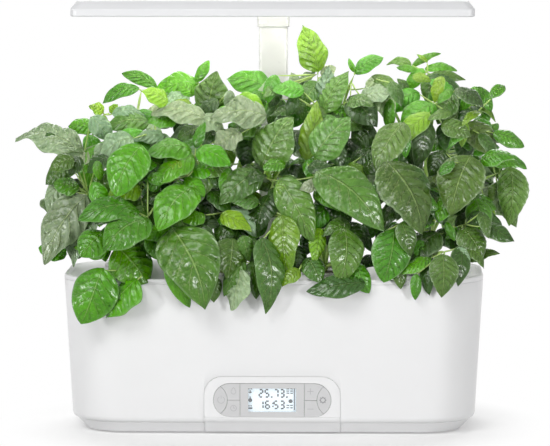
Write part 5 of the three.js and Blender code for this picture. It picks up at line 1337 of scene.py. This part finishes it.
class GARDEN_OT_plants(bpy.types.Operator):
    """Eight plants, each with its stems, its placed leaves and small leaves inside"""

    bl_idname = "garden.plants"
    bl_label = "Plants"

    def execute(self, context):
        settings = context.scene.garden_leaves
        for plant in PLACED:
            self.grow(plant, settings)
        return {"FINISHED"}

    def grow(self, plant, settings):
        """One plant in its pod."""
        rng = np.random.default_rng(settings.seed * 100 + plant)
        low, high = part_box(f"basket_{plant}")
        pod = np.array([(low.x + high.x) / 2, (low.y + high.y) / 2, high.z - CROWN_DROP])
        tips = np.array([from_photo(*place) for place in STEMS[plant]])
        root = pod + np.zeros_like(tips)
        root[:, :2] += rng.uniform(-STEM_SCATTER, STEM_SCATTER, (len(tips), 2))
        middle = root + (tips - root) * 0.12
        middle[:, 2] = root[:, 2] + np.maximum(tips[:, 2] - root[:, 2], LEAST_RISE) * 0.7
        parts = [tubes(root, middle, tips, STEM_START, STEM_END, 14, 10)]
        rows = PLACED[plant]
        table = np.array([row[:7] + (row[8:] or (0, 0)) for row in rows], float)
        kinds = [row[7] for row in rows]
        base = from_photo(table[:, 0], table[:, 1], table[:, 5])
        tip = from_photo(table[:, 2], table[:, 3], table[:, 6])
        scale = 1 / FOCAL_PIXELS * (VIEW_DISTANCE + table[:, 5] * CANOPY_DEPTH)
        width = table[:, 4] * scale
        bow = np.stack([table[:, 7] * scale, 0 * scale, -table[:, 8] * scale], -1) * 0.5
        rear = self.rear_leaves(plant, rng)
        base, tip, width = (np.concatenate([first, last]) for first, last in zip((base, tip, width), rear))
        bow = np.concatenate([bow, np.zeros_like(rear[0])])
        kinds += [REAR_LETTERS[index % len(REAR_LETTERS)] for index in range(len(rear[0]))]
        away = np.arange(len(base)) >= len(rows)
        base, tip, width, bow, kinds = self.with_fillers(plant, base, tip, width, bow, kinds, rng)
        away = np.concatenate([away, np.zeros(len(base) - len(away), bool)])
        starts = self.nearest_on_stems(root, middle, tips, base)
        # The veins stand up as often as the finish draws them, but no more than seven times a leaf
        veins = min(VEINS[PLANT_SLOTS[plant]], VEINS["leaf_veined"])
        for kind in sorted(set(kinds)):
            chosen = np.array([mark == kind for mark in kinds])
            shape = dict(KINDS[kind], veins=veins)
            count = int(chosen.sum())
            tint = np.full((count, 4), KINDS[kind]["vein"])
            tint[:, :3] = np.array(KINDS[kind]["tint"]) * rng.uniform(0.8, 1.3, (count, 1))
            tint[:, 0] *= rng.uniform(0.85, 1.15, count)
            # Painted light: the back row's tints are lifted, for the stronger light that falls on the plants
            # at the back
            if plant in BACK_ROW:
                tint[:, :3] = tint[:, :3] * 1.2 + 0.02
            parts.append(grow_leaves(
                base[chosen], tip[chosen], width[chosen], bow[chosen], tint, shape, settings, rng,
                away[chosen]))
        knee = (starts + base) / 2 - np.array([0, 0, STALK_SAG])
        parts.append(tubes(starts, knee, base + (tip - base) * 0.04, STALK_START, STALK_END, 6, 6))
        piece = build_mesh(f"foliage_{plant}", *gather(parts))
        add_modifier(piece, "WELD", merge_threshold=LEAF_WELD)
        slot = PLANT_SLOTS[plant]
        settle(piece, "tub", finish_for(slot), [f"plant_{plant}"])

    def rear_leaves(self, plant, rng):
        """Leaves at the back of a plant of the back row, each from a random place outwards, down and to the
        rear."""
        count = REAR_COUNT if plant in BACK_ROW else 0
        left, top, right, bottom = FILLED[plant][:4]
        x = rng.uniform(left, right, count)
        y = rng.uniform((top + bottom) / 2, bottom + REAR_DROP, count)
        turn = rng.uniform(-1.3, 1.3, count)
        reach = rng.uniform(*REAR_REACH, count)
        start = from_photo(x, y, rng.uniform(*REAR_BASE_DEPTHS, count))
        end = from_photo(
            x + reach * np.sin(turn), y + reach * np.cos(turn), rng.uniform(*REAR_TIP_DEPTHS, count))
        free = clear_of_mast_and_flap(start, end)
        start, end = start[free], end[free]
        return start, end, np.linalg.norm(end - start, axis=1) * rng.uniform(*REAR_WIDTHS, len(start))

    def with_fillers(self, plant, base, tip, width, bow, kinds, rng):
        """Adds small leaves that fill the plant's part of the photograph, behind the placed ones: each
        starts at a random place and turns outwards and down."""
        left, top, right, bottom, near, far, count, letters = FILLED[plant]
        x, y = rng.uniform(left, right, count), rng.uniform(top, bottom, count)
        depth = rng.uniform(near, far, count)
        spread = (x - (left + right) / 2) / (right - left)
        turn = rng.uniform(-1.6, 1.6, count) + spread
        reach = rng.uniform(*FILL_REACH, count)
        end_x, end_y = x + reach * np.sin(turn), y + reach * np.cos(turn) * 0.9
        start = from_photo(x, y, depth)
        end = from_photo(end_x, end_y, depth + rng.uniform(*FILL_FORWARD, count))
        reach = np.linalg.norm(end - start, axis=1)
        inside = clear_of_mast_and_flap(start, end)
        start, end, reach = start[inside], end[inside], reach[inside]
        fill_kinds = [letters[index % len(letters)] for index in range(len(start))]
        return (np.concatenate([base, start]), np.concatenate([tip, end]),
                np.concatenate([width, reach * rng.uniform(*FILL_WIDTHS[PLANT_SLOTS[plant]], len(reach))]),
                np.concatenate([bow, np.zeros((len(start), 3))]), kinds + fill_kinds)

    def nearest_on_stems(self, root, middle, tips, base):
        """For each leaf base, the nearest of many points along the stems."""
        t = np.linspace(0.3, 1, 24)[:, None, None]
        along = (1 - t) ** 2 * root + 2 * t * (1 - t) * middle + t ** 2 * tips
        along = along.reshape(-1, 3)
        distance = np.linalg.norm(along[None] - base[:, None], axis=-1)
        return along[distance.argmin(1)]


class GARDEN_OT_finishes(bpy.types.Operator):
    """Gives every CAD node that still shows the finish of its slot"""

    bl_idname = "garden.finishes"
    bl_label = "Finishes"

    def execute(self, context):
        for entry in frame["record"]["subparts"]:
            node = frame["nodes"][entry["node"]]
            material = finish_for(entry["material_slot"])
            node.data.materials.clear()
            node.data.materials.append(material)
        return {"FINISHED"}


# Studio

# Lights: name, place and target in metres, size, and power in watts
LIGHTS = [
    ("key light", (-1.0, -3.6, 1.4), (0, 0, 0.2), (0.35, 0.35), 6),
    ("fill light", (1.2, -3.6, 0.7), (0, 0, 0.2), (1.0, 1.0), 3),
    ("left strip", (-2.7, -2.2, 0.45), (0, 0, 0.1), (0.3, 0.8), 35),
    ("right strip", (2.2, -2.6, 0.45), (0, 0, 0.1), (0.3, 0.8), 45),
    ("top light", (-0.8, -1.6, 1.6), (0, 0, 0.2), (1.2, 0.8), 21.5),
    ("rear light", (0.0, 1.4, 1.5), (0, 0, 0.3), (1.6, 0.8), 24),
]

# The floor: half its width, its colour as it lights the object and as it is seen, and the distances from
# the middle over which its grey gives way to white
FLOOR_HALF = 4.0
FLOOR_COLOUR = (0.82, 0.82, 0.82, 1)
FLOOR_SHOWN = (0.66, 0.66, 0.66, 1)
FLOOR_FADE = (0.17, 0.26)


def seen_directly(tree):
    """1 for the rays that show the background: from the camera, off gloss and through glass."""
    ray = tree.nodes.new("ShaderNodeLightPath")
    known = ray.outputs["Is Camera Ray"]
    for other in ("Is Glossy Ray", "Is Transmission Ray"):
        larger = tree.nodes.new("ShaderNodeMath")
        larger.operation = "MAXIMUM"
        tree.links.new(known, larger.inputs[0])
        tree.links.new(ray.outputs[other], larger.inputs[1])
        known = larger.outputs[0]
    return known


def soft_light(name, place, target, size, power):
    """An area light at a place, turned to a target."""
    light = bpy.data.lights.new(name, "AREA")
    light.shape = "RECTANGLE"
    light.size, light.size_y = size
    light.energy = power
    lamp = bpy.data.objects.new(name, light)
    lamp.location = place
    direction = np.array(target) - np.array(place)
    lamp.rotation_euler = (
        math.atan2(math.hypot(direction[0], direction[1]), -direction[2]), 0,
        math.atan2(direction[1], direction[0]) - math.pi / 2)
    bpy.context.scene.collection.objects.link(lamp)


class GARDEN_OT_stage(bpy.types.Operator):
    """Pale floor, plain white surroundings, soft lights and the camera"""

    bl_idname = "garden.stage"
    bl_label = "Studio"

    def execute(self, context):
        scene = context.scene
        scene.view_settings.view_transform = "Standard"
        signs = np.array([(-1, -1, 0), (1, -1, 0), (1, 1, 0), (-1, 1, 0)])
        floor = build_mesh("floor", FLOOR_HALF * signs, [[0, 1, 2, 3]], smooth=False)
        finish = Finish("pale floor", 0.9, specular=0.0)
        finish.shader.inputs["Base Color"].default_value = FLOOR_COLOUR
        tree = finish.tree
        spot = finish.node(
            "ShaderNodeVectorMath", [(0, finish.coordinates.outputs["Object"])], operation="LENGTH")
        far = finish.span(spot.outputs["Value"], *FLOOR_FADE)
        white = finish.node("ShaderNodeEmission", [("Strength", 1.0)])
        lit = finish.node("ShaderNodeEmission", [("Strength", FLOOR_GLOW)])
        shown = finish.node("ShaderNodeBsdfDiffuse", [("Color", FLOOR_SHOWN)])
        near = finish.node("ShaderNodeAddShader", [(0, lit.outputs[0]), (1, shown.outputs[0])])
        floor_seen = finish.node(
            "ShaderNodeMixShader", [(0, far), (1, near.outputs[0]), (2, white.outputs[0])])
        pick = finish.node("ShaderNodeMixShader", [
            (0, seen_directly(tree)), (1, finish.shader.outputs[0]), (2, floor_seen.outputs[0])])
        tree.links.new(pick.outputs[0], tree.nodes["Material Output"].inputs[0])
        floor.data.materials.append(finish.material)
        world = bpy.data.worlds.new("white surroundings")
        scene.world = world
        world.use_nodes = True
        nodes, links = world.node_tree.nodes, world.node_tree.links
        seen = nodes["Background"]
        seen.inputs["Color"].default_value = (1, 1, 1, 1)
        seen.inputs["Strength"].default_value = 1.0
        around = nodes.new("ShaderNodeBackground")
        around.inputs["Color"].default_value = (1, 1, 1, 1)
        around.inputs["Strength"].default_value = ROOM_GLOW
        mix = nodes.new("ShaderNodeMixShader")
        links.new(seen_directly(world.node_tree), mix.inputs[0])
        links.new(around.outputs[0], mix.inputs[1])
        links.new(seen.outputs[0], mix.inputs[2])
        links.new(mix.outputs[0], nodes["World Output"].inputs[0])
        for light in LIGHTS:
            soft_light(*light)
        camera = bpy.data.cameras.new("camera")
        camera.lens = VIEW_LENS
        camera.sensor_width = SENSOR
        camera.clip_end = VIEW_REACH
        view = bpy.data.objects.new("camera", camera)
        view.location = (VIEW_SIDE, -VIEW_DISTANCE, VIEW_HEIGHT)
        view.rotation_euler = Euler((math.radians(90 - VIEW_PITCH), 0, math.radians(VIEW_YAW)))
        scene.collection.objects.link(view)
        scene.camera = view
        return {"FINISHED"}


class GARDEN_PT_panel(bpy.types.Panel):
    """Lists the garden's settings and steps"""

    bl_label = "Garden"
    bl_idname = "GARDEN_PT_panel"
    bl_space_type = "VIEW_3D"
    bl_region_type = "UI"
    bl_category = "Garden"

    def draw(self, context):
        for group in (context.scene.garden_sizes, context.scene.garden_colours, context.scene.garden_leaves):
            box = self.layout.box()
            for name in group.bl_rna.properties.keys():
                if name not in ("rna_type", "name"):
                    box.prop(group, name)
        for step in STEPS:
            self.layout.operator(step.bl_idname)


STEPS = (
    GARDEN_OT_casing, GARDEN_OT_base, GARDEN_OT_lid_edge, GARDEN_OT_insert, GARDEN_OT_mast, GARDEN_OT_lamp,
    GARDEN_OT_marks, GARDEN_OT_plants, GARDEN_OT_finishes, GARDEN_OT_stage)
GROUPS = (GardenSizes, GardenColours, GardenLeaves)


def register():
    """Registers the groups, the steps and the panel."""
    for item in GROUPS + STEPS + (GARDEN_PT_panel,):
        bpy.utils.register_class(item)
    bpy.types.Scene.garden_sizes = PointerProperty(type=GardenSizes)
    bpy.types.Scene.garden_colours = PointerProperty(type=GardenColours)
    bpy.types.Scene.garden_leaves = PointerProperty(type=GardenLeaves)


def unregister():
    """Takes them away again."""
    del bpy.types.Scene.garden_leaves
    del bpy.types.Scene.garden_colours
    del bpy.types.Scene.garden_sizes
    for item in reversed(GROUPS + STEPS + (GARDEN_PT_panel,)):
        bpy.utils.unregister_class(item)


def main():
    """Builds the pieces in order."""
    register()
    for step in STEPS:
        area, name = step.bl_idname.split(".")
        getattr(getattr(bpy.ops, area), name)()


if __name__ == "__main__":
    main()
